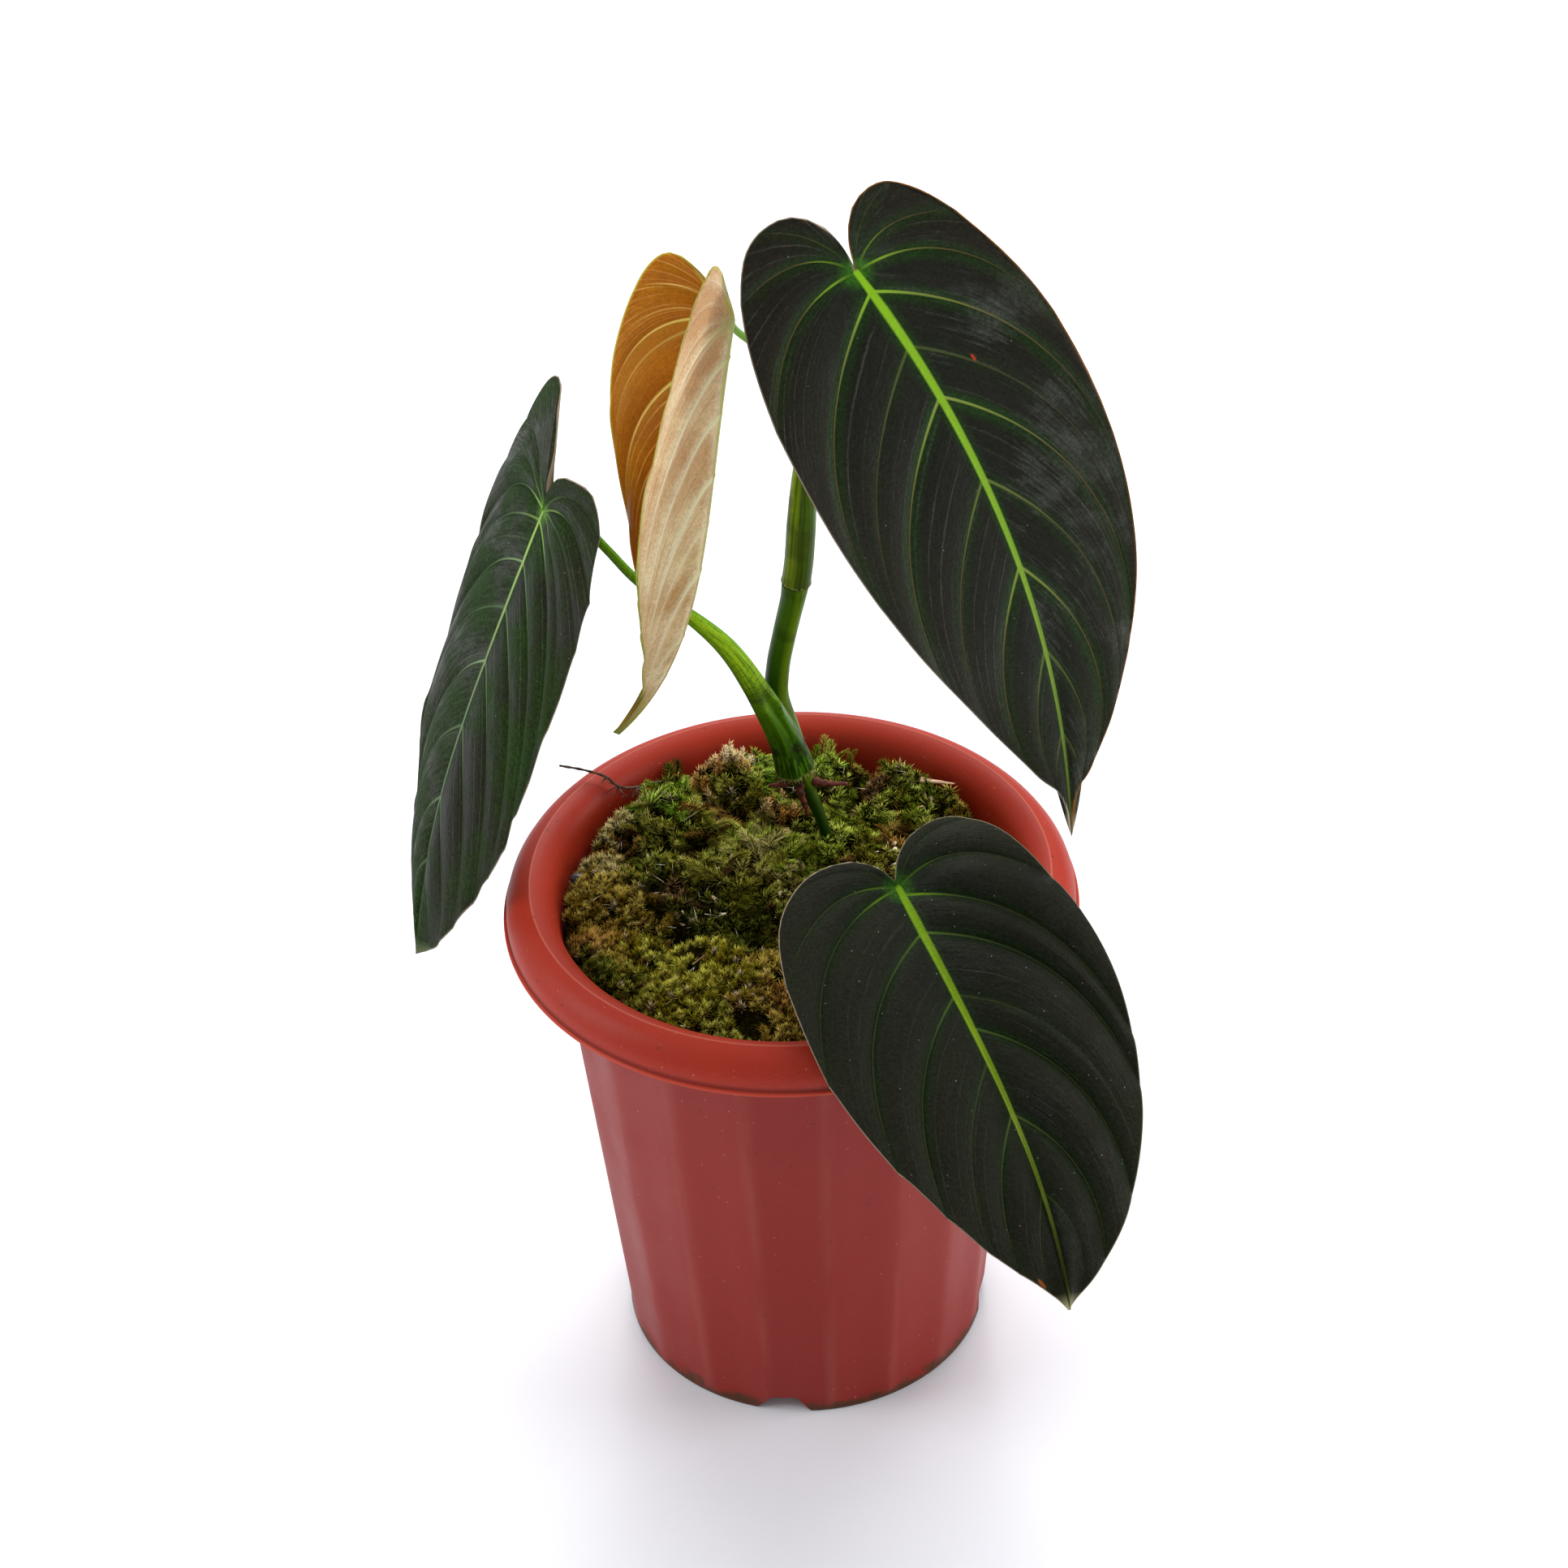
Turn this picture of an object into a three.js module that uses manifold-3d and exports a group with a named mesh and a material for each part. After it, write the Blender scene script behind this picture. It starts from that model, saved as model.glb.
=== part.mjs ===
// A young black gold philodendron in a terracotta-coloured nursery pot.
// Millimetres, +Z up. The origin is on the surface that the pot stands on, under the middle of the plant.
import * as THREE from "three";
import { ParametricGeometry } from "three/addons/geometries/ParametricGeometry.js";
import { mergeGeometries, mergeVertices } from "three/addons/utils/BufferGeometryUtils.js";
import Module from "manifold-3d";

const wasm = await Module();
wasm.setup();

// Driving dimensions of the pot
const potAxis = new THREE.Vector3(7.7, 24.7, 0); // the pot's axis from the middle of the whole plant
const rimRadius = 90; // outside of the rolled rim, at its lip
const rimHeight = 179.2; // crown of the rolled rim
const crownRadius = 81.2;
const lipHeight = 166.4; // underside of the lip
const mouthRadius = 73.4; // inner edge of the rolled rim
const wallTopRadius = 74.4; // outside of the wall, just under the rim
const footRadius = 59.4;
const wallThickness = 1.8;
const footWidth = 2.4; // flat ring that the pot stands on
const floorHeight = 4.5; // underside of the raised floor
const floorThickness = 2;
const fluteCount = 18;
const fluteDepth = 0.9;
const fluteTurn = THREE.MathUtils.degToRad(256); // one ridge stands 14 degrees left of the front
const notchCount = 4;
const notchTurn = THREE.MathUtils.degToRad(-99);
const notchHeight = 5.2;
const notchWidth = 18; // at the foot
const notchTopWidth = 8;
const drainHoleRadius = 4;
const drainRingRadius = 34;
const drainHoleCount = 6;

// Driving dimensions of the potting mix, the moss and what lies on them
const mixHeight = 160; // flat top of the mix
const gap = 0.3; // clearance between pieces that touch
const mossWallGap = 1.2; // from the moss to the wall of the pot
const mossCleft = 0.35; // half of the dark cleft between two cushions
const tuftHeight = 3.4;
const roundness = 14; // higher gives the cushions sharper corners

// Sizes of the blades
const bladeThickness = 0.8;
const keelHeight = 1.3; // how far the midrib stands proud of the underside
const keelWidth = 2.4;
const fanShare = 0.45; // share of the rows that fan out from the petiole
const fanReach = 0.58; // share of the margin that those rows reach
const sweep = 1.887; // how early the side veins turn towards the tip
const veinTurn = 44; // degrees that a vein leaves the rib wide of its straight line
const veinReach = 0.56; // where the vein's bend lies, as a share of its length
const fullTurnShare = 0.22; // share of the margin by which the veins turn that far
const tipTurn = 0.55; // what is left of the turn at the tip
const tipTurnStart = 0.4; // share of the margin where the turn starts to fall
const widestVein = 176; // degrees from the direction of the tip that no vein passes
const lobeDepth = 0.12; // lengths behind the petiole by which a point counts as in the lobe
const quiltSpan = 0.09; // gap between two rows of veins that quilts fully
const waveHeight = 0.6; // of the margin's waves, as a share of the pleat
const wavesRight = 4;
const wavesLeft = 3;
const ribRound = 3; // how far from the midrib the halves start to stand up
const veinRows = [0, 0.1, 0.19, 0.27, 0.36, 0.46, 0.575, 0.675, 0.755, 0.825, 0.89, 0.945, 1];
const rowsPerVein = 2;
const columns = 12;

// Each blade: where the petiole meets it, how it is turned, its length from there to the tip, how it bends,
// and the two halves. Angles are in degrees. Right and left are as seen on the upper face, tip up.
// The outline is one half of the margin, across in half widths and along in lengths.
const blades = {
  top: {
    place: [25.9, 15, 384.7], heading: 6.8, tilt: -16.4, lean: -32.6, length: 197.4,
    bend: -11.5, tipBend: -2.3, lobeBend: -0.9, sway: 30.9, tipSway: 1.1,
    twist: 6.6, opening: -9, pleat: 1.1,
    right: { width: 49.7, lobe: 1.07, shift: -0.12, fold: 9, curl: 6.5 },
    left: { width: 42.6, lobe: 0.69, shift: 0.1, fold: 12, curl: 5.5 },
    outline: [
      [0, -0.004], [0.063, -0.081], [0.249, -0.128], [0.522, -0.119], [0.77, -0.017], [0.947, 0.156],
      [0.948, 0.365], [0.784, 0.574], [0.491, 0.752], [0.211, 0.876], [0.046, 0.93], [0, 1],
    ],
  },
  left: {
    place: [-68.4, 24.7, 301], heading: -70, tilt: -21.4, lean: 6.1, length: 172.9,
    bend: 0.9, tipBend: -22.8, lobeBend: -53.5, sway: -2.2, tipSway: -1.9,
    twist: 6.6, opening: -7.9, pleat: 1.3,
    right: { width: 45.4, lobe: 1.07, shift: 0.03, fold: -5, curl: -7.1 },
    left: { width: 48.2, lobe: 0.89, shift: -0.05, fold: -1, curl: 3.4 },
    outline: [
      [0, -0.035], [0.09, -0.093], [0.302, -0.133], [0.588, -0.161], [0.856, -0.104], [0.991, 0.101],
      [0.978, 0.341], [0.826, 0.589], [0.533, 0.793], [0.247, 0.929], [0.068, 0.983], [0, 1],
    ],
  },
  young: {
    place: [-10.5, 12, 371.7], heading: -82.6, tilt: -10.7, lean: -3.2, length: 153.9,
    bend: -12.5, tipBend: 42, lobeBend: -0.8, sway: 7, tipSway: 12.9,
    twist: -23.3, opening: -4.6, pleat: 0.9,
    right: { width: 36.2, lobe: 0.81, shift: 0.1, fold: 56.6, curl: 4.8 },
    left: { width: 36.9, lobe: 1.12, shift: -0.04, fold: 40.8, curl: -10.6 },
    outline: [
      [0, -0.01], [0.112, -0.047], [0.309, -0.118], [0.575, -0.122], [0.818, -0.019], [0.961, 0.152],
      [0.941, 0.334], [0.765, 0.537], [0.472, 0.708], [0.188, 0.843], [0.015, 0.921], [0, 1],
    ],
  },
  front: {
    place: [32.2, -39.7, 203.3], heading: 9, tilt: -57, lean: -17.3, length: 135.1,
    bend: -6.2, tipBend: -5.1, lobeBend: 1.2, sway: 1.1, tipSway: 19.9,
    twist: -2.8, opening: 9.8, pleat: 1.5,
    right: { width: 46.9, lobe: 0.98, shift: -0.01, fold: 6, curl: 2.7 },
    left: { width: 45.1, lobe: 0.99, shift: 0.01, fold: -5.5, curl: -3.7 },
    outline: [
      [0, -0.018], [0.098, -0.07], [0.298, -0.105], [0.587, -0.097], [0.869, -0.009], [1.034, 0.18],
      [1.03, 0.397], [0.846, 0.628], [0.542, 0.813], [0.243, 0.927], [0.064, 0.978], [0, 1],
    ],
  },
};

// Stems as [x, y, z, radius] along their middle line, from the pot's axis
const stemLine = [
  [21, 22, 130, 1.4], [16, 26, 150, 1.7], [12.3, 29, 168.9, 1.8], [9.8, 31, 178, 1.9],
  [7.2, 33, 185, 2.4], [5.2, 35, 189.5, 4.1], [3.4, 37.2, 195, 4.5], [1, 39.5, 205, 4.1],
  [-1.7, 41, 217, 3.8], [-0.9, 41, 228.8, 3.7], [1.3, 40, 240.9, 3.7], [3.6, 39, 251.7, 3.9],
  [5, 38.1, 258, 4.4],
];
const aerialRoots = [
  [[5, 35, 188.5, 1.1], [10, 34.5, 186.6, 1], [17.4, 36, 184.6, 0.5]],
  [[4.6, 34, 188.5, 1.1], [5, 31.4, 186.4, 0.9], [6, 30.2, 182.6, 0.5]],
  [[3.4, 35, 189, 1], [0.4, 34.2, 188, 0.8], [-2, 35, 187.4, 0.5]],
];
const petioleLines = {
  top: [
    [5.3, 37.9, 258.9, 4.5], [6.7, 37, 271.2, 4.5], [7.8, 36, 283.8, 4.5], [8.6, 35.5, 294, 4.2],
    [9.4, 35, 304.9, 3.5], [11.8, 34, 322.7, 2.6], [15.7, 32, 342.1, 2.1], [20.1, 29, 360.3, 1.9],
    [24, 24, 374.8, 1.8], [25.9, 15.2, 384.6, 1.6],
  ],
  left: [
    [4.4, 33.4, 188, 5.1], [2.6, 33.4, 197, 4.9], [0, 33, 206.5, 4.6], [-8.2, 32, 227.3, 3.9],
    [-16.3, 31.5, 243.1, 3.2], [-25.8, 31, 254.7, 2.4], [-35.5, 30.5, 263.8, 1.8],
    [-43.4, 30, 272.1, 1.5], [-50.9, 30.5, 282.4, 1.4], [-60, 31.5, 294, 1.4],
    [-66.5, 28.6, 301.5, 1.4], [-68.4, 24.8, 301.2, 1.3],
  ],
  young: [
    [9.6, 37.4, 300, 1.3], [8, 38, 315, 1.3], [5.5, 36.5, 331, 1.3], [1.5, 32.5, 345, 1.2],
    [-4, 26, 355.5, 1.2], [-8.5, 18.5, 364.5, 1.1], [-10.5, 12.1, 371.6, 1],
  ],
  front: [
    [16.6, 24.5, 149, 1.8], [22, 8, 149, 1.9], [26.5, -8, 157, 1.9], [29.2, -19, 174, 1.8],
    [30.8, -30, 190, 1.7], [32.2, -39.6, 203.2, 1.5],
  ],
};
const dryRootLine = [
  [-34, 53, 166, 0.5], [-36, 56, 171.4, 0.5], [-42, 55.6, 173.4, 0.5], [-47.8, 52.6, 174.2, 0.45],
  [-53.6, 49.2, 177.2, 0.45], [-57.4, 50.2, 180.6, 0.4], [-64.4, 51, 183.2, 0.4], [-72.2, 50.8, 185.6, 0.4],
];

// Moss cushions as [name, x, y, size against its neighbours, top above the mix]
const cushions = [
  ["moss_front", -24, -43, 1.15, 11.5],
  ["moss_middle", -8, 4, 1.15, 14.5],
  ["moss_left", -50, 8, 1, 11.5],
  ["moss_back_left", -43, 44, 1, 13],
  ["moss_pale_tuft", -16, 62, 0.8, 15.5],
  ["moss_back", 10, 60, 0.85, 12.5],
  ["moss_back_right", 42, 48, 1, 14.5],
  ["moss_right", 58, 12, 0.9, 11.5],
  ["moss_stem_side", 24, 12, 0.9, 11],
  ["moss_front_right", 26, -40, 1, 10.5],
  ["moss_left_edge", -58, -26, 0.8, 9],
];
const chip = { place: [48, 44.5, 174.2], size: [12.5, 3, 1.4], turn: -14 };
const pebble = { place: [-66.8, 12.4, 170], radius: 2.2 };

const radians = THREE.MathUtils.degToRad;
const clamp = THREE.MathUtils.clamp;
const lerp = THREE.MathUtils.lerp;

// A closed geometry as a solid that can be joined and cut
function solidFrom(geometry) {
  const bare = geometry.index ? geometry.toNonIndexed() : geometry.clone();
  bare.deleteAttribute("normal");
  bare.deleteAttribute("uv");
  const merged = mergeVertices(bare, 1e-4);
  const corners = merged.index.array;
  const triVerts = [];
  for (let i = 0; i < corners.length; i += 3) {
    const [a, b, c] = corners.subarray(i, i + 3);
    if (a !== b && b !== c && c !== a) triVerts.push(a, b, c);
  }
  const vertProperties = merged.attributes.position.array;
  const mesh = new wasm.Mesh({ numProp: 3, vertProperties, triVerts: new Uint32Array(triVerts) });
  return new wasm.Manifold(mesh);
}

function largestPiece(solid) {
  const pieces = solid.decompose();
  return pieces.reduce((best, piece) => (piece.volume() > best.volume() ? piece : best));
}

function meshFrom(name, solid, material) {
  const { vertProperties, triVerts } = largestPiece(solid).getMesh();
  const geometry = new THREE.BufferGeometry();
  geometry.setAttribute("position", new THREE.BufferAttribute(vertProperties, 3));
  geometry.setIndex(new THREE.BufferAttribute(triVerts, 1));
  geometry.computeVertexNormals();
  const mesh = new THREE.Mesh(geometry, material);
  mesh.name = name;
  return mesh;
}

// Moves every corner of a geometry to where place(x, y, z) says
function reshape(geometry, place) {
  const corners = geometry.attributes.position;
  for (let i = 0; i < corners.count; i++) {
    const { x, y, z } = place(corners.getX(i), corners.getY(i), corners.getZ(i));
    corners.setXYZ(i, x, y, z);
  }
  return geometry;
}

// Pot

const outerWall = (height) => lerp(footRadius, wallTopRadius, height / lipHeight);
const innerWall = (height) => outerWall(height) - wallThickness;

// The pot's section, from the axis under the floor, round the outside and back to the axis above the floor
function potSection() {
  const fluteEnd = lipHeight - 3;
  const floorTop = floorHeight + floorThickness;
  const section = [
    [0, floorHeight], [footRadius - footWidth, floorHeight], [footRadius - footWidth, 0], [footRadius, 0],
    [outerWall(2), 2], [outerWall(5), 5],
    [outerWall(fluteEnd - 4), fluteEnd - 4], [outerWall(fluteEnd), fluteEnd],
    [wallTopRadius, lipHeight + 4], [76.5, lipHeight + 8], [80.5, lipHeight + 9.6], [84.5, lipHeight + 7],
    [87.2, lipHeight + 1.4], [88.6, lipHeight], [rimRadius, lipHeight], [rimRadius, lipHeight + 1.2],
    [89, lipHeight + 2], [88.2, lipHeight + 6], [85.8, lipHeight + 10.2],
    [crownRadius + 1.4, rimHeight - 0.4],
    [crownRadius, rimHeight], [crownRadius - 1.8, rimHeight - 0.5], [76, rimHeight - 2.8],
    [mouthRadius + 0.5, rimHeight - 6.4], [mouthRadius - 0.4, rimHeight - 10], [innerWall(150), 150],
    [innerWall(floorTop), floorTop], [0, floorTop],
  ];
  return section.map(([radius, height]) => new THREE.Vector2(radius, height));
}

// How far the shallow flutes go into the wall: nothing at a ridge, all of it midway between two
function fluteAt(angle, height) {
  const fade = clamp((height - 1) / 4, 0, 1) * clamp((lipHeight - 3 - height) / 4, 0, 1);
  return fluteDepth * fade * Math.abs(Math.sin((angle - fluteTurn) * fluteCount / 2));
}

function potSolid() {
  const shell = new THREE.LatheGeometry(potSection(), fluteCount * 4);
  shell.rotateX(Math.PI / 2).rotateZ(fluteTurn);
  reshape(shell, (x, y, z) => {
    const radius = Math.hypot(x, y);
    const angle = Math.atan2(y, x);
    const onWall = radius > outerWall(z) - 0.05 && z < lipHeight;
    const kept = onWall ? radius - fluteAt(angle, z) : radius;
    return { x: kept * Math.cos(angle), y: kept * Math.sin(angle), z };
  });
  let pot = solidFrom(shell);
  for (let i = 0; i < notchCount; i++) {
    pot = pot.subtract(notchSolid(notchTurn + (i * 2 * Math.PI) / notchCount));
  }
  for (let i = 0; i < drainHoleCount; i++) {
    const angle = (i * 2 * Math.PI) / drainHoleCount;
    pot = pot.subtract(drainHole(drainRingRadius * Math.cos(angle), drainRingRadius * Math.sin(angle)));
  }
  return pot.subtract(drainHole(0, 0));
}

function notchSolid(turn) {
  const outline = new THREE.Shape();
  outline.moveTo(-notchWidth / 2, -1);
  outline.lineTo(notchWidth / 2, -1);
  outline.lineTo(notchTopWidth / 2, notchHeight);
  outline.lineTo(-notchTopWidth / 2, notchHeight);
  const cut = new THREE.ExtrudeGeometry(outline, { depth: 12, bevelEnabled: false });
  cut.translate(0, 0, footRadius - 8).rotateX(Math.PI / 2).rotateZ(turn + Math.PI / 2);
  return solidFrom(cut);
}

function drainHole(x, y) {
  const hole = new THREE.CylinderGeometry(drainHoleRadius, drainHoleRadius, 12, 12);
  hole.rotateX(Math.PI / 2).translate(x, y, floorHeight);
  return solidFrom(hole);
}

// Potting mix

function mixSolid() {
  const bottom = floorHeight + floorThickness + gap;
  const section = [
    new THREE.Vector2(0, bottom),
    new THREE.Vector2(innerWall(bottom) - gap, bottom),
    new THREE.Vector2(innerWall(mixHeight) - gap, mixHeight),
    new THREE.Vector2(0, mixHeight),
  ];
  const plug = new THREE.LatheGeometry(section, 48);
  return solidFrom(plug.rotateX(Math.PI / 2));
}

// Stems, petioles and roots: a round stem along a smooth line, closed at both ends

function stemSolid(line, spare = 0, sides = 12) {
  const path = new THREE.CatmullRomCurve3(line.map(([x, y, z]) => new THREE.Vector3(x, y, z)));
  const rings = (line.length - 1) * 2;
  const frames = path.computeFrenetFrames(rings, false);
  const radiusAt = (share) => {
    const along = path.getUtoTmapping(share) * (line.length - 1);
    const i = Math.min(Math.floor(along), line.length - 2);
    return lerp(line[i][3], line[i + 1][3], along - i) + spare;
  };
  const place = (u, v, target) => {
    const ring = clamp(Math.round(v * (rings + 2)) - 1, 0, rings);
    const isEnd = v === 0 || v === 1;
    const radius = isEnd ? 0 : radiusAt(ring / rings);
    const turn = 2 * Math.PI * u;
    target.copy(path.getPointAt(ring / rings));
    if (spare > 0 && ring === 0) target.addScaledVector(frames.tangents[0], -spare);
    if (spare > 0 && ring === rings) target.addScaledVector(frames.tangents[rings], spare);
    target.addScaledVector(frames.normals[ring], radius * Math.cos(turn));
    target.addScaledVector(frames.binormals[ring], radius * Math.sin(turn));
  };
  return solidFrom(new ParametricGeometry(place, sides, rings + 2));
}

function stemWithRoots(spare = 0) {
  return aerialRoots.reduce((stem, root) => stem.add(stemSolid(root, spare, 6)), stemSolid(stemLine, spare));
}

// Blades

// One half of the margin as a flat curve in millimetres, from the bottom of the cleft round to the tip
function marginOf(blade, half, side) {
  const points = blade.outline.map(([across, along], i) => {
    const inLobe = i === 0 ? 0 : clamp(-along / lobeDepth, 0, 1);
    const x = across + half.shift * inLobe * (1 - across);
    const y = i > 0 && along < 0 ? along * half.lobe : along;
    return new THREE.Vector2(side * x * half.width, y * blade.length);
  });
  const margin = new THREE.SplineCurve(points);
  margin.arcLengthDivisions = 400;
  return margin;
}

// The line that a side vein takes from the midrib to the margin. The first rows fan out from the petiole.
function veinLine(blade, margin, side, row) {
  const beyond = Math.max(0, (row - fanShare) / (1 - fanShare));
  const fanned = (fanReach * row) / fanShare;
  const share = row < fanShare ? fanned : 1 - (1 - fanReach) * (1 - beyond) ** sweep;
  const start = new THREE.Vector2(0, beyond * blade.length);
  const end = margin.getPointAt(share);
  const chord = end.clone().sub(start);
  const angle = Math.atan2(side * chord.x, chord.y);
  const nearTip = clamp((share - tipTurnStart) / (1 - tipTurnStart), 0, 1);
  const widest = radians(veinTurn) * Math.min(1, share / fullTurnShare) * lerp(1, tipTurn, nearTip);
  const turned = angle + Math.min(widest, Math.max(radians(widestVein) - angle, 0));
  const reach = veinReach * chord.length();
  const control = new THREE.Vector2(side * Math.sin(turned), Math.cos(turned));
  control.multiplyScalar(reach).add(start);
  return new THREE.QuadraticBezierCurve(start, control, end);
}

// Where a row of the mesh lies between the veins: its place from base to tip, and its share of that gap
function rowPlace(step) {
  const gaps = veinRows.length - 1;
  const i = Math.min(Math.floor(step * gaps + 1e-6), gaps - 1);
  const between = clamp(step * gaps - i, 0, 1);
  return { row: lerp(veinRows[i], veinRows[i + 1], between), between, span: veinRows[i + 1] - veinRows[i] };
}

// A direction in the blade's frame, swayed from its length and then bent up
function directionAt(sway, bend) {
  return new THREE.Vector3(Math.sin(sway) * Math.cos(bend), Math.cos(sway) * Math.cos(bend), Math.sin(bend));
}

function bladePoint(blade, margin, side, reach, step, face, spare) {
  const half = side > 0 ? blade.right : blade.left;
  const { row, between, span } = rowPlace(step);
  const flat = veinLine(blade, margin, side, row).getPoint(reach);
  const across = side * flat.x;
  const along = flat.y / blade.length;
  const ahead = Math.max(along, 0);
  const behind = Math.min(along, 0);

  // the midrib's bend up or down and its sway to one side, here and on the way here
  const evenBend = blade.bend * along + blade.lobeBend * behind;
  const bend = radians(evenBend + blade.tipBend * ahead ** 3);
  const meanBend = radians(evenBend / 2 + (blade.tipBend * ahead ** 3) / 4);
  const sway = radians(blade.sway * along + blade.tipSway * ahead ** 3);
  const meanSway = radians((blade.sway * along) / 2 + (blade.tipSway * ahead ** 3) / 4);
  const forward = directionAt(sway, bend);
  const up = directionAt(sway, bend + Math.PI / 2);
  const sideways = forward.clone().cross(up);
  const point = directionAt(meanSway, meanBend).multiplyScalar(flat.y);

  // each half stands up from the midrib and curls towards its margin
  const rise = half.fold + blade.opening * along + side * blade.twist * along;
  const meanSlope = radians(rise + (half.curl * across) / half.width / 2);
  const fromRib = 1 - Math.exp(-Math.abs(across) / ribRound);
  const slope = radians(rise + (half.curl * across) / half.width) * fromRib;
  point.addScaledVector(sideways, side * across * Math.cos(meanSlope));
  point.addScaledVector(up, across * Math.sin(meanSlope));
  const outward = up.clone().multiplyScalar(Math.cos(slope));
  outward.addScaledVector(sideways, -side * Math.sin(slope));

  // quilting between the veins, the waved margin, and the midrib's keel on the underside
  const fade = (1 - Math.exp(-6 * reach)) * (1 - 0.55 * reach);
  const quilt = Math.sin(Math.PI * between) * Math.min(1, span / quiltSpan) * fade;
  const wave = waveHeight * Math.sin(2 * Math.PI * row * (side > 0 ? wavesRight : wavesLeft)) * reach ** 3;
  const keel = Math.exp(-((across / keelWidth) ** 2)) * (1 - 0.8 * ahead);
  const halfThickness = bladeThickness / 2 + spare;
  const top = halfThickness + 0.3 * keel;
  const underside = -halfThickness - keelHeight * keel;
  const lift = blade.pleat * (quilt + wave) + (face > 0 ? top : underside);
  return point.addScaledVector(outward, lift);
}

// The blade in its own frame: the upper sheet, the underside split alike, and a strip along each margin
function bladeSolid(blade, spare = 0) {
  const rows = (veinRows.length - 1) * rowsPerVein;
  const rightMargin = marginOf(blade, blade.right, 1);
  const leftMargin = marginOf(blade, blade.left, -1);
  const turned = new THREE.Matrix4().makeRotationFromEuler(
    new THREE.Euler(radians(blade.tilt), radians(blade.lean), radians(blade.heading), "ZXY"),
  );
  const hanging = new THREE.Matrix4().makeBasis(
    new THREE.Vector3(-1, 0, 0), new THREE.Vector3(0, 0, -1), new THREE.Vector3(0, -1, 0),
  );
  const pose = turned.multiply(hanging).setPosition(...blade.place);
  const place = (across, y, face) => {
    const side = across < 0 ? -1 : 1;
    const margin = side > 0 ? rightMargin : leftMargin;
    const reach = Math.abs(across) ** 1.25;
    return bladePoint(blade, margin, side, reach, y + 0.5, face, spare).applyMatrix4(pose);
  };
  const upper = reshape(new THREE.PlaneGeometry(2, 1, columns, rows), (x, y) => place(x, y, 1));
  const under = reshape(new THREE.PlaneGeometry(2, 1, columns, rows), (x, y) => place(x, y, -1));
  under.index.array.reverse();
  const rightEdge = reshape(new THREE.PlaneGeometry(1, 1, 1, rows), (x, y) => place(1, y, x < 0 ? 1 : -1));
  const leftEdge = reshape(new THREE.PlaneGeometry(1, 1, 1, rows), (x, y) => place(-1, y, x < 0 ? -1 : 1));
  return solidFrom(mergeGeometries([upper, under, rightEdge, leftEdge]));
}

// Moss

// A cushion's outline in one direction: it stops short of the wall and of the line halfway to each neighbour,
// and the nearest few of these limits are blended so that its corners are round
function cushionReach([name, x, y, size], angle) {
  const towards = new THREE.Vector2(Math.cos(angle), Math.sin(angle));
  const wall = innerWall(mixHeight) - mossWallGap;
  const here = new THREE.Vector2(x, y);
  const alongHere = here.dot(towards);
  const limits = [Math.sqrt(alongHere ** 2 + wall ** 2 - here.lengthSq()) - alongHere];
  for (const [otherName, otherX, otherY, otherSize] of cushions) {
    const apart = new THREE.Vector2(otherX - x, otherY - y);
    const facing = otherName === name ? 0 : apart.dot(towards) / apart.length();
    if (facing > 0.05) limits.push(((apart.length() * size) / (size + otherSize) - mossCleft) / facing);
  }
  return limits.reduce((sum, limit) => sum + limit ** -roundness, 0) ** (-1 / roundness);
}

function mossSolid(cushion, seed) {
  const [, x, y, , top] = cushion;
  const rings = 6;
  const sectors = 24;
  const bottom = mixHeight + gap;
  const tufts = [];
  THREE.MathUtils.seededRandom(seed + 1);
  for (let i = 0; i <= rings * sectors; i++) tufts.push(THREE.MathUtils.seededRandom());
  const place = (u, v, target) => {
    const ring = Math.round(v * (rings + 2));
    const sector = Math.round(u * sectors) % sectors;
    const angle = (-2 * Math.PI * sector) / sectors;
    const share = ring > rings ? rings + 2 - ring : ring / rings;
    const reach = cushionReach(cushion, angle) * share;
    const tuft = ring === 0 ? 1 : tufts[(ring - 1) * sectors + sector] * ((ring + sector) % 2 ? 1 : 0.35);
    const dome = (top - 5) * (1 - share ** 4) + 5;
    const height = ring > rings ? bottom : bottom + dome + tuftHeight * (tuft - 0.5);
    target.set(x + reach * Math.cos(angle), y + reach * Math.sin(angle), height);
  };
  return solidFrom(new ParametricGeometry(place, sectors, rings + 2));
}

// The splinter of wood and the pebble that lie on the moss

function chipSolid(spare = 0) {
  const [length, width, height] = chip.size.map((side) => side + 2 * spare);
  const splinter = new THREE.CylinderGeometry(width * 0.28, width / 2, length, 6, 1);
  splinter.rotateZ(Math.PI / 2).scale(1, 1, height / width).rotateZ(radians(chip.turn));
  splinter.translate(...chip.place);
  return solidFrom(splinter);
}

function pebbleSolid(spare = 0) {
  const stone = new THREE.IcosahedronGeometry(pebble.radius + spare, 1);
  return solidFrom(stone.scale(1.15, 0.9, 0.8).translate(...pebble.place));
}

// Materials

const finish = (color, roughness) => new THREE.MeshStandardMaterial({ color, roughness, metalness: 0 });
const materials = {
  pot: finish("#a8402c", 0.55),
  mix: finish("#2b1f15", 0.95),
  moss: finish("#667223", 0.9),
  oliveMoss: finish("#857f42", 0.9),
  paleMoss: finish("#a98f5f", 0.9),
  stem: finish("#35601c", 0.45),
  petiole: finish("#6d9b2b", 0.45),
  blade: finish("#1b2a1a", 0.6),
  youngBlade: finish("#b7772f", 0.5),
  chip: finish("#c7a07c", 0.8),
  pebble: finish("#2a2d36", 0.4),
  dryRoot: finish("#5a4535", 0.8),
};
const mossFinish = {
  moss_left: materials.oliveMoss,
  moss_back_left: materials.oliveMoss,
  moss_pale_tuft: materials.paleMoss,
};

// The whole plant, with each piece cut clear of what it stands in or clasps

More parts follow.
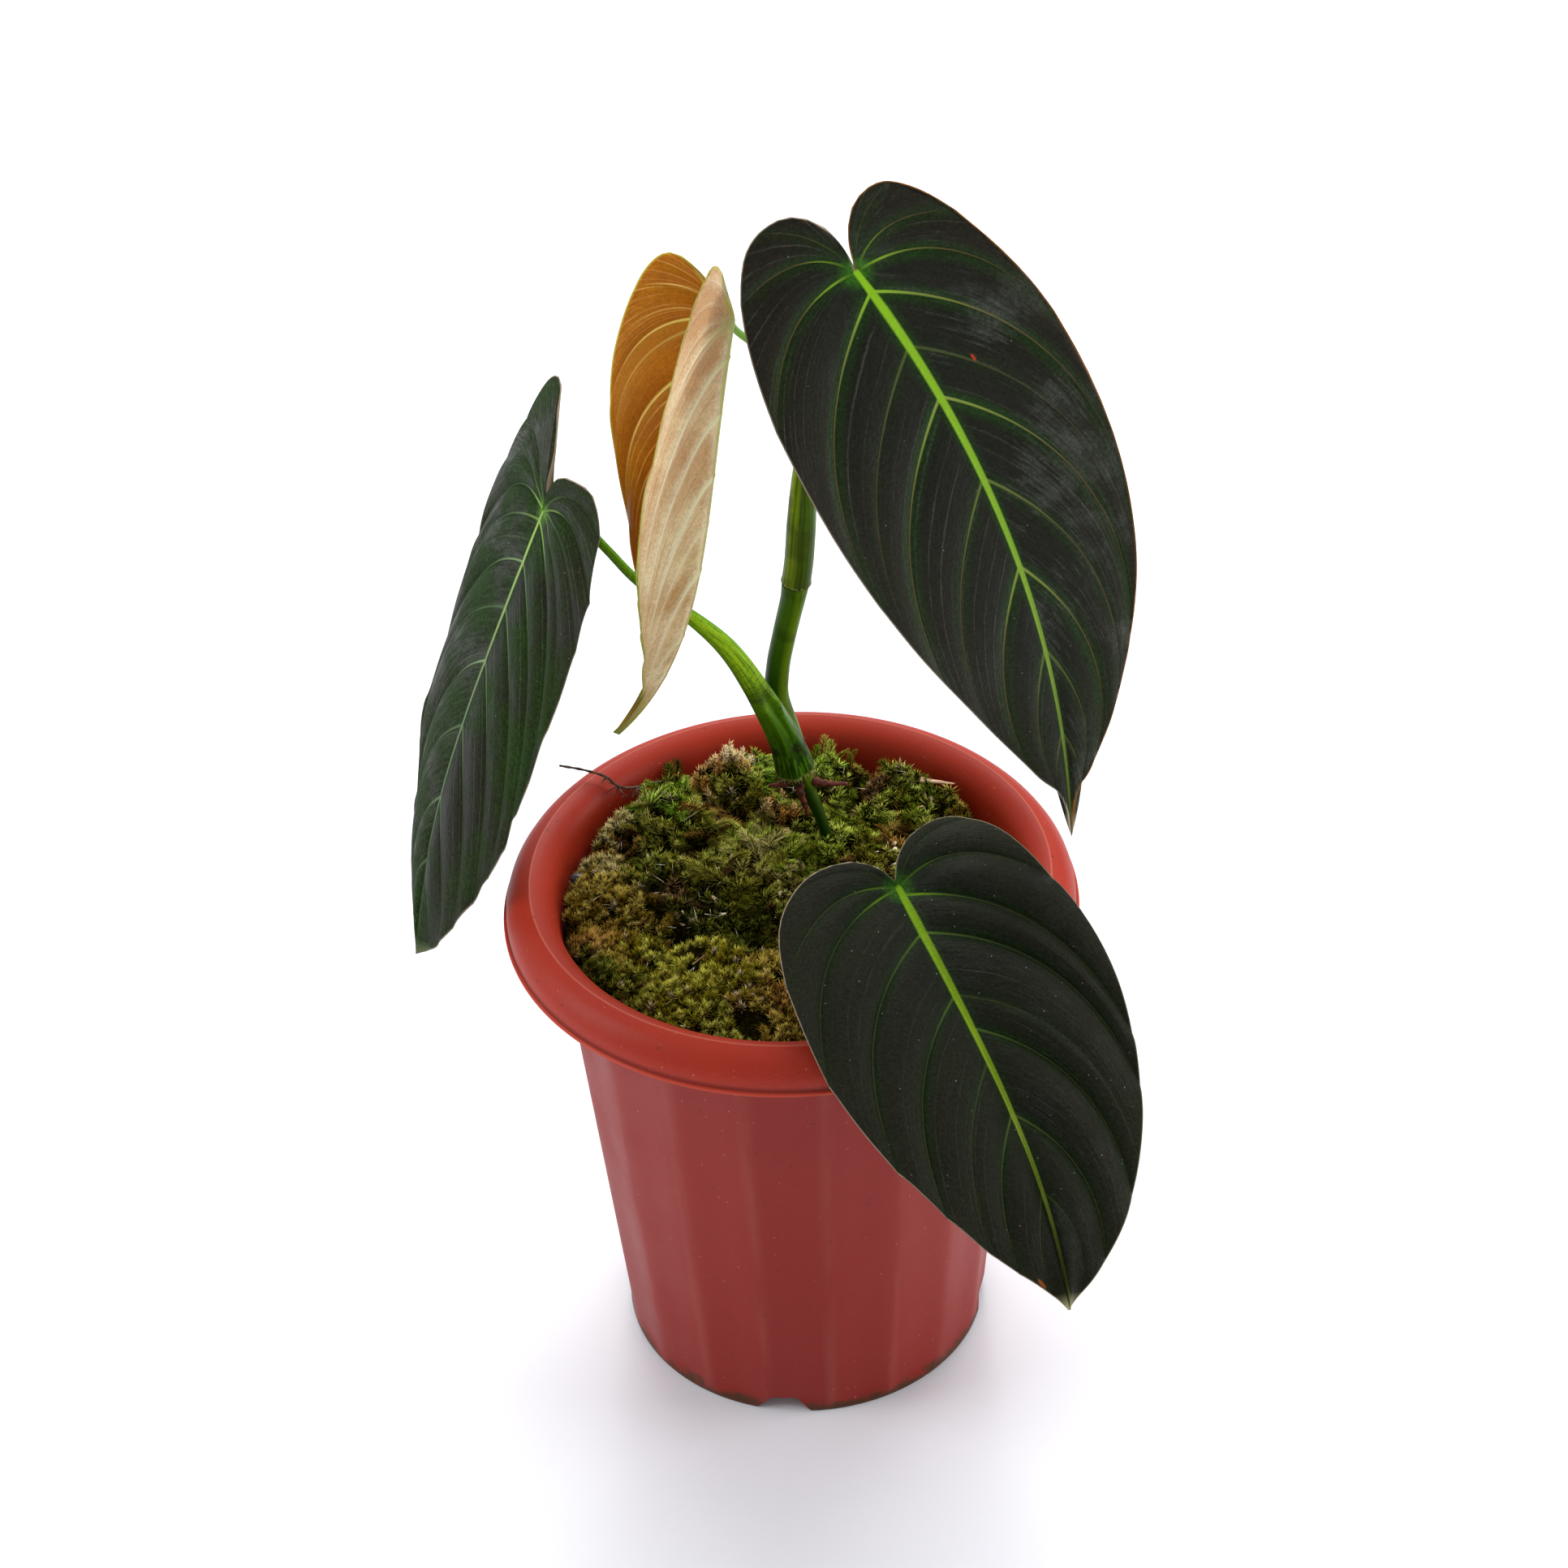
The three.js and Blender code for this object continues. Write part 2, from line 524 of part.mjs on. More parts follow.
const stem = stemWithRoots();
const stemRoom = stemWithRoots(gap);
const chipRoom = chipSolid(gap);
const pebbleRoom = pebbleSolid(gap);
const dryRootRoom = stemSolid(dryRootLine, gap, 5);

const bladeSolids = {};
const petioleSolids = {};
for (const name of ["top", "left", "young", "front"]) {
  bladeSolids[name] = bladeSolid(blades[name]);
  const bladeRoom = bladeSolid(blades[name], gap);
  petioleSolids[name] = stemSolid(petioleLines[name]).subtract(bladeRoom).subtract(stemRoom);
}
petioleSolids.young = petioleSolids.young.subtract(stemSolid(petioleLines.top, gap));
const frontPetioleRoom = stemSolid(petioleLines.front, gap);

const plant = new THREE.Group();
plant.position.copy(potAxis);
plant.add(meshFrom("pot", potSolid(), materials.pot));
plant.add(meshFrom("potting_mix", mixSolid().subtract(stemRoom).subtract(frontPetioleRoom), materials.mix));
cushions.forEach((cushion, i) => {
  const rooms = [stemRoom, frontPetioleRoom, chipRoom, pebbleRoom, dryRootRoom];
  const moss = rooms.reduce((left, room) => left.subtract(room), mossSolid(cushion, i));
  plant.add(meshFrom(cushion[0], moss, mossFinish[cushion[0]] ?? materials.moss));
});
plant.add(meshFrom("wood_chip", chipSolid(), materials.chip));
plant.add(meshFrom("pebble", pebbleSolid(), materials.pebble));
plant.add(meshFrom("dry_root", stemSolid(dryRootLine, 0, 5), materials.dryRoot));
plant.add(meshFrom("stem", stem, materials.stem));
for (const name of ["top", "left", "young", "front"]) {
  const bladeFinish = name === "young" ? materials.youngBlade : materials.blade;
  plant.add(meshFrom("petiole_" + name, petioleSolids[name], materials.petiole));
  plant.add(meshFrom("blade_" + name, bladeSolids[name], bladeFinish));
}

export default plant;
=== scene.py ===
import math
import random

import bmesh
import bpy
import numpy as np
from mathutils import Euler, Matrix, Vector, noise


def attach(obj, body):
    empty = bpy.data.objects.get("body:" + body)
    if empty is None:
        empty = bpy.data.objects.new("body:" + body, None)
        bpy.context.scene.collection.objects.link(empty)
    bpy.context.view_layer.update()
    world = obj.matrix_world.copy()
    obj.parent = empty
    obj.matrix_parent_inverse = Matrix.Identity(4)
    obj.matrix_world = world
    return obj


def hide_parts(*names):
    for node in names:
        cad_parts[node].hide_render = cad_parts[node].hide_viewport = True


bl_info = {
    "name": "Potted black gold philodendron",
    "version": (1, 0, 0),
    "blender": (4, 5, 0),
    "location": "View3D > Sidebar > Plant",
    "description": "Builds a velvet-leaved climber with moss in a nursery pot",
    "category": "Add Mesh",
}

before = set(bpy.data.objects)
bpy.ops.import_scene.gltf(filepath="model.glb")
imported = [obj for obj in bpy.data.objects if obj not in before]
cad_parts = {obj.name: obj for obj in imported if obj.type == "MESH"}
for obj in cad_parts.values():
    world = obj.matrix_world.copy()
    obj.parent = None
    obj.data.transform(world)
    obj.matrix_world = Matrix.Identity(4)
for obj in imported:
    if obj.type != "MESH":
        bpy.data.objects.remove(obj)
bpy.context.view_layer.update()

AXIS = Vector((7.7, 24.7, 0.0))  # the pot's axis from the middle of the whole plant, in millimetres
INTO_PLACE = Matrix.Scale(0.001, 4) @ Matrix.Translation(AXIS)
AXIS_M = AXIS * 0.001

# Pot, as in the part's source
RIM_RADIUS = 90.0
RIM_HEIGHT = 179.2
CROWN_RADIUS = 81.2
LIP_HEIGHT = 166.4
WALL_TOP_RADIUS = 74.4
FOOT_RADIUS = 59.4
WALL_THICKNESS = 1.8
FOOT_WIDTH = 2.4
FLOOR_HEIGHT = 4.5
FLOOR_THICKNESS = 2.0
FLUTE_COUNT = 18
FLUTE_DEPTH = 0.9
FLUTE_TURN = math.radians(256)
NOTCH_COUNT = 4
NOTCH_TURN = math.radians(-99)
NOTCH_HEIGHT = 6.2
NOTCH_WIDTH = 18.0
NOTCH_TOP_WIDTH = 8.0
CUT_BELOW = 1.6  # how far the notch cutters reach past the foot
CUT_DEPTH = 12.0
DRAIN_HOLE_RADIUS = 4.0
DRAIN_RING_RADIUS = 34.0
DRAIN_HOLE_COUNT = 6
MIX_HEIGHT = 160.0

# Blades, as in the part's source
FAN_SHARE = 0.45  # the rows that fan out from the top of the petiole, and how far round the margin they reach
FAN_REACH = 0.58
SWEEP = 1.887  # how much the other veins lean towards the tip
VEIN_TURN = 44.0  # degrees between a vein's start and its chord
VEIN_REACH = 0.56  # how far along its chord a vein bends
FULL_TURN_SHARE = 0.22
TIP_TURN = 0.55
TIP_TURN_START = 0.4
WIDEST_VEIN = 176.0
LOBE_DEPTH = 0.12
WAVE_HEIGHT = 0.6
WAVES_RIGHT = 4
WAVES_LEFT = 3
RIB_ROUND = 3.0
KEEL_HEIGHT = 1.3
KEEL_WIDTH = 2.4
QUILT_WIDTH = 3.4  # how far from a vein the cushion between veins reaches its height
SHEET_THICKNESS = 0.5

# Blades, finer than in the part's source: how the midrib and the veins stand out above and below
RIB_TAPER = 1.15
RIB_RISE = 0.16
KEEL_RISE = 0.3
GROOVE_WIDTH = 0.6
GROOVE_DEPTH = 0.12
UNDER_GROOVE_DEPTH = 0.32
HUB_WIDTH = 9.0
RUFFLES = 9.5  # small waves on each half of the margin
FAR = 99.0  # further than any vein
VEIN_STEPS = 60
COLUMNS = 90
# rows of the mesh from one vein to the next, closest beside the veins
GAP_SHARES = np.array([0, 0.04, 0.1, 0.18, 0.29, 0.42, 0.58, 0.71, 0.82, 0.9, 0.96])

# Angles are in degrees and lengths in millimetres. A vein is its row, and its strength on the right and on
# the left half. The outline runs from the petiole to the tip, as shares of a half's width and of the length.
BLADES = {
    "top": {
        "place": (25.9, 15, 384.7), "heading": 6.8, "tilt": -16.4, "lean": -32.6, "length": 197.4,
        "bend": -11.5, "tip_bend": -2.3, "lobe_bend": -0.9, "sway": 30.9, "tip_sway": 1.1,
        "twist": 6.6, "opening": -9, "pleat": 1.1, "quilt": 2.4, "ruffle": 0.2,
        "rib": 1.15, "rib_end": 0.34,
        "veins": (
            (0.1, 0.5, 0.5), (0.16, 0.9, 0.8), (0.275, 0.9, 1), (0.47, 1, 1), (0.525, 0.25, 0.2),
            (0.575, 0.95, 1), (0.655, 0.4, 0.5), (0.74, 0.8, 0.85), (0.82, 0.35, 0.35), (0.9, 0.2, 0.2),
        ),
        "right": {"width": 49.7, "lobe": 1.07, "shift": -0.12, "fold": 9, "curl": 6.5},
        "left": {"width": 42.6, "lobe": 0.69, "shift": 0.1, "fold": 12, "curl": 5.5},
        "outline": (
            (0, -0.004), (0.063, -0.081), (0.249, -0.128), (0.522, -0.119), (0.77, -0.017), (0.947, 0.156),
            (0.948, 0.365), (0.784, 0.574), (0.491, 0.752), (0.211, 0.876), (0.046, 0.93), (0, 1),
        ),
    },
    "left": {
        "place": (-68.4, 24.7, 301), "heading": -70, "tilt": -21.4, "lean": 6.1, "length": 172.9,
        "bend": 0.9, "tip_bend": -22.8, "lobe_bend": -53.5, "sway": -2.2, "tip_sway": -1.9,
        "twist": 6.6, "opening": -7.9, "pleat": 1.3, "quilt": 3.0, "ruffle": 0.45,
        "rib": 0.66, "rib_end": 0.14,
        "veins": (
            (0.15, 0, 0.5), (0.21, 0.4, 0.8), (0.26, 0.4, 0.3), (0.35, 0.9, 0.3), (0.46, 0.4, 0.8),
            (0.51, 0.9, 0.6), (0.565, 0.3, 0.6), (0.63, 0.9, 0.5), (0.71, 0.4, 0.5), (0.8, 0.5, 0.4),
            (0.88, 0.3, 0.2),
        ),
        "right": {"width": 45.4, "lobe": 1.07, "shift": 0.03, "fold": -5, "curl": -7.1},
        "left": {"width": 48.2, "lobe": 0.89, "shift": -0.05, "fold": -1, "curl": 3.4},
        "outline": (
            (0, -0.035), (0.09, -0.093), (0.302, -0.133), (0.588, -0.161), (0.856, -0.104), (0.991, 0.101),
            (0.978, 0.341), (0.826, 0.589), (0.533, 0.793), (0.247, 0.929), (0.068, 0.983), (0, 1),
        ),
    },
    "young": {
        "place": (-10.5, 12, 371.7), "heading": -82.6, "tilt": -10.7, "lean": -3.2, "length": 153.9,
        "bend": -12.5, "tip_bend": 42, "lobe_bend": -0.8, "sway": 7, "tip_sway": 12.9,
        "twist": -23.3, "opening": -4.6, "pleat": 0.9, "quilt": 2.4, "ruffle": 0.35,
        "rib": 1.2, "rib_end": 0.26,
        "veins": (
            (0.12, 0.6, 0.7), (0.165, 1, 0.3), (0.24, 0.35, 0.5), (0.32, 1, 0.9), (0.4, 0.35, 0.4),
            (0.49, 1, 0.9), (0.555, 0.4, 0.9), (0.63, 0.8, 0.9), (0.69, 0.4, 0.4), (0.75, 0.7, 0.8),
            (0.84, 0.5, 0.5), (0.9, 0.3, 0.3),
        ),
        "right": {"width": 36.2, "lobe": 0.81, "shift": 0.1, "fold": 56.6, "curl": 4.8},
        "left": {"width": 36.9, "lobe": 1.12, "shift": -0.04, "fold": 40.8, "curl": -10.6},
        "outline": (
            (0, -0.01), (0.112, -0.047), (0.309, -0.118), (0.575, -0.122), (0.818, -0.019), (0.961, 0.152),
            (0.941, 0.334), (0.765, 0.537), (0.472, 0.708), (0.188, 0.843), (0.015, 0.921), (0, 1),
        ),
    },
    "front": {
        "place": (32.2, -39.7, 203.3), "heading": 9, "tilt": -57, "lean": -17.3, "length": 135.1,
        "bend": -6.2, "tip_bend": -5.1, "lobe_bend": 1.2, "sway": 1.1, "tip_sway": 19.9,
        "twist": -2.8, "opening": 9.8, "pleat": 1.5, "quilt": 4.2, "ruffle": 0,
        "rib": 1.05, "rib_end": 0.4,
        "veins": (
            (0.14, 0.3, 0.35), (0.26, 0.6, 0.7), (0.385, 0.8, 0), (0.46, 0, 0.9), (0.513, 0.9, 1),
            (0.6, 0.85, 0.25), (0.645, 0, 0.9), (0.69, 0.3, 0), (0.76, 0.75, 0.8), (0.86, 0.3, 0.3),
        ),
        "right": {"width": 46.9, "lobe": 0.98, "shift": -0.01, "fold": 6, "curl": 2.7, "quilt": 0.75},
        "left": {"width": 45.1, "lobe": 0.99, "shift": 0.01, "fold": -5.5, "curl": -3.7},
        "outline": (
            (0, -0.018), (0.098, -0.07), (0.298, -0.105), (0.587, -0.097), (0.869, -0.009), (1.034, 0.18),
            (1.03, 0.397), (0.846, 0.628), (0.542, 0.813), (0.243, 0.927), (0.064, 0.978), (0, 1),
        ),
    },
}

# Stems as x, y, z and radius along their middle line, as in the part's source but for the lower node, the foot
# of the left sheath and one more short root
STEM_LINE = (
    (21, 22, 130, 1.4), (16, 26, 150, 1.7), (12.3, 29, 168.9, 1.8), (9.8, 31, 178, 1.9), (7.2, 33, 185, 2.4),
    (5.2, 35, 189.5, 4.1), (3.4, 37.2, 195, 4.5), (1, 39.5, 205, 4.1), (-1.7, 41, 217, 3.8),
    (-0.9, 41, 228.8, 3.7), (1.3, 40, 240.9, 3.7), (3.6, 39, 251.7, 3.8), (4.6, 38.4, 256.5, 3.9),
    (5.5, 37.8, 262.3, 4.3),
)
AERIAL_ROOTS = (
    ((5, 34, 189.5, 1.5), (10, 33, 188.4, 1.35), (14, 33.4, 187.2, 1), (19.4, 34.6, 186, 0.5)),
    ((4.6, 33, 189.5, 1.5), (4.4, 30.8, 187, 1.3), (5.8, 29.6, 181.6, 0.8), (6.4, 29.4, 178, 0.5)),
    ((3.4, 34, 190, 1.3), (-0.6, 32.4, 188.8, 1.1), (-5.4, 33.2, 187.4, 0.6)),
    ((6, 36, 188.5, 1.1), (8.6, 39, 186.4, 0.9), (9.6, 41.4, 183, 0.5)),
)
PETIOLE_LINES = {
    "top": (
        (5.7, 37.6, 263, 4.5), (6.8, 37, 271.2, 4.5), (7.8, 36, 283.8, 4.5), (8.6, 35.5, 294, 4.2),
        (9.4, 35, 304.9, 3.5), (11.8, 34, 322.7, 2.6), (15.7, 32, 342.1, 2.1), (20.1, 29, 360.3, 1.9),
        (24, 24, 374.8, 1.8), (25.9, 15.2, 384.6, 1.6),
    ),
    "left": (
        (3.2, 33.4, 193.6, 6.4), (2, 33.4, 199, 5.9), (0, 33, 206.5, 5.2), (-8.2, 32, 227.3, 3.9),
        (-16.3, 31.5, 243.1, 3.2), (-25.8, 31, 254.7, 2.4), (-35.5, 30.5, 263.8, 1.8),
        (-43.4, 30, 272.1, 1.5), (-50.9, 30.5, 282.4, 1.4), (-60, 31.5, 294, 1.4),
        (-66.5, 28.6, 301.5, 1.4), (-68.4, 24.8, 301.2, 1.3),
    ),
    "young": (
        (9.6, 37.4, 300, 1.3), (8, 38, 315, 1.3), (5.5, 36.5, 331, 1.3), (1.5, 32.5, 345, 1.2),
        (-4, 26, 355.5, 1.2), (-8.5, 18.5, 364.5, 1.1), (-10.5, 12.1, 371.6, 1),
    ),
    "front": (
        (16.6, 24.5, 149, 1.8), (22, 8, 149, 1.9), (26.5, -8, 157, 1.9), (29.2, -19, 174, 1.8),
        (30.8, -30, 190, 1.7), (32.2, -39.6, 203.2, 1.5),
    ),
}
DRY_ROOT_LINE = (
    (-34, 53, 166, 0.5), (-36, 56, 171.4, 0.5), (-42, 55.6, 173.4, 0.5), (-47.8, 52.6, 174.2, 0.45),
    (-53.6, 49.2, 177.2, 0.45), (-57.4, 50.2, 180.6, 0.4), (-64.4, 51, 183.2, 0.4), (-72.2, 50.8, 185.6, 0.4),
)


# Colours, shader nodes and pieces

def linear(code):
    """An sRGB hex colour as linear red, green, blue and alpha."""
    parts = [int(code[i:i + 2], 16) / 255 for i in (1, 3, 5)]
    return tuple(p / 12.92 if p <= 0.04045 else ((p + 0.055) / 1.055) ** 2.4 for p in parts) + (1.0,)


def add(material, kind, inputs=None, out=0, stops=None, **settings):
    """Adds a shader node and gives one of its outputs. An input is a value, or a socket to link from. The
    stops of a ramp are its first, its last and then the ones between."""
    node = material.node_tree.nodes.new("ShaderNode" + kind)
    for name, value in settings.items():
        setattr(node, name, value)
    for place, value in (inputs or {}).items():
        if isinstance(value, bpy.types.NodeSocket):
            material.node_tree.links.new(value, node.inputs[place])
        else:
            node.inputs[place].default_value = value
    for i, (position, code) in enumerate(stops or ()):
        ramp = node.color_ramp.elements
        stop = ramp[i] if i < 2 else ramp.new(position)
        stop.position = position
        stop.color = linear(code)
    return node.outputs[out]


def new_material(name, **constants):
    """A material whose shader has these constants on its own sockets."""
    material = bpy.data.materials.new(name)
    material.use_nodes = True
    shader = material.node_tree.nodes["Principled BSDF"]
    for key, value in constants.items():
        shader.inputs[key.replace("_", " ").title().replace("Ior", "IOR")].default_value = value
    return material


def connect(material, **sockets):
    """Links sockets to the shader's inputs of those names."""
    shader = material.node_tree.nodes["Principled BSDF"]
    for key, socket in sockets.items():
        material.node_tree.links.new(socket, shader.inputs[key.replace("_", " ").title()])


def finish_piece(bm, name, nodes, materials):
    """Makes the object of a finished bmesh in place and ties it to the frame."""
    bmesh.ops.transform(bm, matrix=INTO_PLACE, verts=bm.verts)
    for face in bm.faces:
        face.smooth = True
    mesh = bpy.data.meshes.new(name)
    bm.to_mesh(mesh)
    bm.free()
    for material in materials:
        mesh.materials.append(material)
    piece = bpy.data.objects.new(name, mesh)
    bpy.context.scene.collection.objects.link(piece)
    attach(piece, "root")
    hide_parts(*nodes)
    return piece


# Pot

def outer_wall(height):
    """The wall's outer radius at a height under the lip."""
    return FOOT_RADIUS + (WALL_TOP_RADIUS - FOOT_RADIUS) * height / LIP_HEIGHT


def inner_wall(height):
    """The wall's inner radius at a height."""
    return outer_wall(height) - WALL_THICKNESS


def pot_section():
    """The pot's section from the axis under the floor, round the outside and back to the axis."""
    lip, crown = LIP_HEIGHT, RIM_HEIGHT
    floor_top = FLOOR_HEIGHT + FLOOR_THICKNESS
    section = [
        (0, FLOOR_HEIGHT), (30, FLOOR_HEIGHT), (FOOT_RADIUS - FOOT_WIDTH - 0.4, FLOOR_HEIGHT),
        (FOOT_RADIUS - FOOT_WIDTH, FLOOR_HEIGHT - 0.4), (FOOT_RADIUS - FOOT_WIDTH, 0.2),
        (FOOT_RADIUS - FOOT_WIDTH + 0.2, 0), (FOOT_RADIUS - 0.6, 0), (FOOT_RADIUS - 0.15, 0.3),
    ]
    wall_heights = (1.2, 2, 5, 8, 30, 60, 90, 120, 145, lip - 7, lip - 3)
    section += [(outer_wall(height), height) for height in wall_heights]
    section += [
        (WALL_TOP_RADIUS, lip - 1), (WALL_TOP_RADIUS, lip + 4), (75, lip + 6.4), (76.5, lip + 8),
        (78.4, lip + 9.3), (80.5, lip + 9.6), (82.7, lip + 8.8), (84.5, lip + 7), (86.2, lip + 4),
        (87.2, lip + 1.4), (87.9, lip + 0.3), (88.6, lip), (89.7, lip), (RIM_RADIUS, lip + 0.3),
        (RIM_RADIUS, lip + 0.9),
        (89.7, lip + 1.2), (89.15, lip + 1.4), (88.95, lip + 1.9), (89, lip + 3), (88.8, lip + 5),
        (88.2, lip + 7), (87, lip + 9), (85.6, lip + 10.6), (83.9, lip + 11.8),
        (CROWN_RADIUS + 0.7, crown - 0.15), (CROWN_RADIUS + 0.35, crown - 0.02), (CROWN_RADIUS, crown + 0.14),
        (CROWN_RADIUS - 0.3, crown - 0.02), (CROWN_RADIUS - 0.8, crown - 0.16), (79.2, crown - 0.7),
        (77.4, crown - 1.7), (75.8, crown - 3.2), (74.5, crown - 5.2), (73.7, crown - 7.4),
        (73.1, crown - 10), (inner_wall(158), 160), (inner_wall(140), 140),
        (inner_wall(floor_top + 2), floor_top + 2), (inner_wall(floor_top) - 2, floor_top), (0, floor_top),
    ]
    return section


def flute_at(angle, height):
    """How far the shallow flutes go into the wall: nothing at a ridge, all of it midway between two."""
    fade = min(max((height - 1) / 4, 0), 1) * min(max((LIP_HEIGHT - 3 - height) / 4, 0), 1)
    return FLUTE_DEPTH * fade * abs(math.sin((angle - FLUTE_TURN) * FLUTE_COUNT / 2)) ** 1.4


def spin_section(bm, section, steps):
    """Spins a section given as radius and height round the upright axis."""
    corners = [bm.verts.new((radius, 0, height)) for radius, height in section]
    edges = [bm.edges.new(pair) for pair in zip(corners, corners[1:])]
    bmesh.ops.spin(
        bm, geom=corners + edges, cent=(0, 0, 0), axis=(0, 0, 1), angle=2 * math.pi, steps=steps,
        use_merge=True,
    )
    bmesh.ops.remove_doubles(bm, verts=bm.verts, dist=0.001)
    bmesh.ops.recalc_face_normals(bm, faces=bm.faces)


def cutter_object(bm, name):
    """An object of a finished bmesh that only shapes another one."""
    mesh = bpy.data.meshes.new(name)
    bm.to_mesh(mesh)
    bm.free()
    cutter = bpy.data.objects.new(name, mesh)
    bpy.context.scene.collection.objects.link(cutter)
    return cutter


def pot_cutters():
    """The drain notches in the foot and the drain holes in the floor, as one cutting object."""
    bm = bmesh.new()
    for i in range(NOTCH_COUNT):
        made = bmesh.ops.create_cube(bm, size=1)["verts"]
        for corner in made:
            wide = NOTCH_TOP_WIDTH if corner.co.z > 0 else NOTCH_WIDTH + 2 * CUT_BELOW
            height = NOTCH_HEIGHT if corner.co.z > 0 else -CUT_BELOW
            corner.co = (FOOT_RADIUS - 2 + corner.co.x * CUT_DEPTH, corner.co.y * wide, height)
        turn = Matrix.Rotation(NOTCH_TURN + i * 2 * math.pi / NOTCH_COUNT, 4, "Z")
        bmesh.ops.transform(bm, matrix=turn, verts=made)
    places = [(0, 0)]
    for i in range(DRAIN_HOLE_COUNT):
        angle = i * 2 * math.pi / DRAIN_HOLE_COUNT
        places.append((DRAIN_RING_RADIUS * math.cos(angle), DRAIN_RING_RADIUS * math.sin(angle)))
    for x, y in places:
        bmesh.ops.create_cone(
            bm, cap_ends=True, segments=32, radius1=DRAIN_HOLE_RADIUS, radius2=DRAIN_HOLE_RADIUS, depth=12,
            matrix=Matrix.Translation((x, y, FLOOR_HEIGHT)),
        )
    return cutter_object(bm, "pot_cutters")


def pot_material(colours):
    """Polypropylene, injection moulded in a worn mould and left outdoors: a waxy satin red-brown with a fine
    grain, pale specks, rubbed places on the lip and dirt that has crept up from the foot."""
    m = new_material("moulded_terracotta_polypropylene", ior=1.49, specular_ior_level=0.22)
    at = add(m, "TexCoord", out=3)
    place = add(m, "Mapping", {0: at, 1: -AXIS_M})
    xyz = add(m, "SeparateXYZ", {0: place})
    height = add(m, "Math", {0: xyz.node.outputs[2], 1: 1000.0}, operation="MULTIPLY")
    flat = add(m, "CombineXYZ", {0: xyz, 1: xyz.node.outputs[1], 2: 0.0})
    radius = add(m, "VectorMath", {0: flat}, out=1, operation="LENGTH")
    radius = add(m, "Math", {0: radius, 1: 1000.0}, operation="MULTIPLY")
    angle = add(m, "Math", {0: xyz.node.outputs[1], 1: xyz}, operation="ARCTAN2")
    # mottling some 40 mm wide, and the mould's grain, which is too fine to show and is drawn 0.6 mm wide
    cloud = add(m, "TexNoise", {0: place, "Scale": 24.0, "Detail": 5.0, "Roughness": 0.6})
    grain = add(m, "TexNoise", {0: place, "Scale": 1700.0, "Detail": 2.0})
    shade, body = linear(colours.shade), linear(colours.body)
    body = add(m, "Mix", {0: cloud, 6: shade, 7: body}, out=2, data_type="RGBA")
    # painted shade: the wall under the lip is drawn duller and browner than the roll of the rim, standing in
    # for its shade
    above = add(m, "MapRange", {0: height, 1: LIP_HEIGHT - 1.5, 2: LIP_HEIGHT - 0.5, 3: 1.0, 4: 0.0})
    body = add(m, "Mix", {0: above, 6: body, 7: linear(colours.wall)}, out=2, data_type="RGBA")
    # painted highlight: the ridges between the flutes are drawn paler, in streaks that run down the wall
    flute = add(m, "Math", {0: angle, 1: -FLUTE_TURN}, operation="ADD")
    flute = add(m, "Math", {0: flute, 1: FLUTE_COUNT / 2}, operation="MULTIPLY")
    flute = add(m, "Math", {0: flute}, operation="SINE")
    flute = add(m, "Math", {0: flute}, operation="ABSOLUTE")
    ridge = add(m, "MapRange", {0: flute, 1: 0.5, 2: 0.0, 3: 0.0, 4: 1.0}, interpolation_type="SMOOTHSTEP")
    streak_at = add(m, "Mapping", {0: place, 3: (1.0, 1.0, 0.06)})
    streaks = add(m, "TexNoise", {0: streak_at, "Scale": 130.0, "Detail": 4.0, "Roughness": 0.6})
    ridge_highlight_streaks = add(m, "MapRange", {0: streaks, 1: 0.35, 2: 0.65, 3: 0.0, 4: 0.2})
    ridge = add(m, "Math", {0: ridge, 1: ridge_highlight_streaks}, operation="MULTIPLY")
    ridge = add(m, "Math", {0: ridge, 1: above}, operation="MULTIPLY")
    body = add(m, "Mix", {0: ridge, 6: body, 7: linear("#b5685a")}, out=2, data_type="RGBA")
    grain_value = add(m, "MapRange", {0: grain, 1: 0.3, 2: 0.7, 3: 0.93, 4: 1.07})
    body = add(m, "Mix", {0: 1.0, 6: body, 7: grain_value}, out=2, data_type="RGBA", blend_type="MULTIPLY")
    # the mould's parting line along the crown, drawn paler as a painted highlight along the raised seam
    seam = add(m, "Math", {0: radius, 1: CROWN_RADIUS}, operation="SUBTRACT")
    seam = add(m, "Math", {0: seam}, operation="ABSOLUTE")
    seam = add(m, "MapRange", {0: seam, 1: 0.15, 2: 0.4, 3: 0.6, 4: 0.0})
    body = add(m, "Mix", {0: seam, 6: body, 7: linear("#c46a58")}, out=2, data_type="RGBA")
    # pale specks and fewer dark ones, about 0.5 mm wide, one or two to a square centimetre
    specks = add(m, "TexVoronoi", {0: place, "Scale": 420.0, "Randomness": 1.0})
    chosen = add(m, "SeparateColor", {0: specks.node.outputs[1]})
    rare = add(m, "Math", {0: chosen, 1: 0.9}, operation="GREATER_THAN")
    dot = add(m, "MapRange", {0: specks, 1: 0.15, 2: 0.07, 3: 0.0, 4: 0.5})
    dot = add(m, "Math", {0: dot, 1: rare}, operation="MULTIPLY")
    body = add(m, "Mix", {0: dot, 6: body, 7: linear("#c98f7c")}, out=2, data_type="RGBA")
    dark_rare = add(m, "Math", {0: chosen.node.outputs[1], 1: 0.975}, operation="GREATER_THAN")
    dark_dot = add(m, "MapRange", {0: specks, 1: 0.3, 2: 0.15, 3: 0.0, 4: 0.6})
    dark_dot = add(m, "Math", {0: dark_dot, 1: dark_rare}, operation="MULTIPLY")
    body = add(m, "Mix", {0: dark_dot, 6: body, 7: linear("#5a2018")}, out=2, data_type="RGBA")
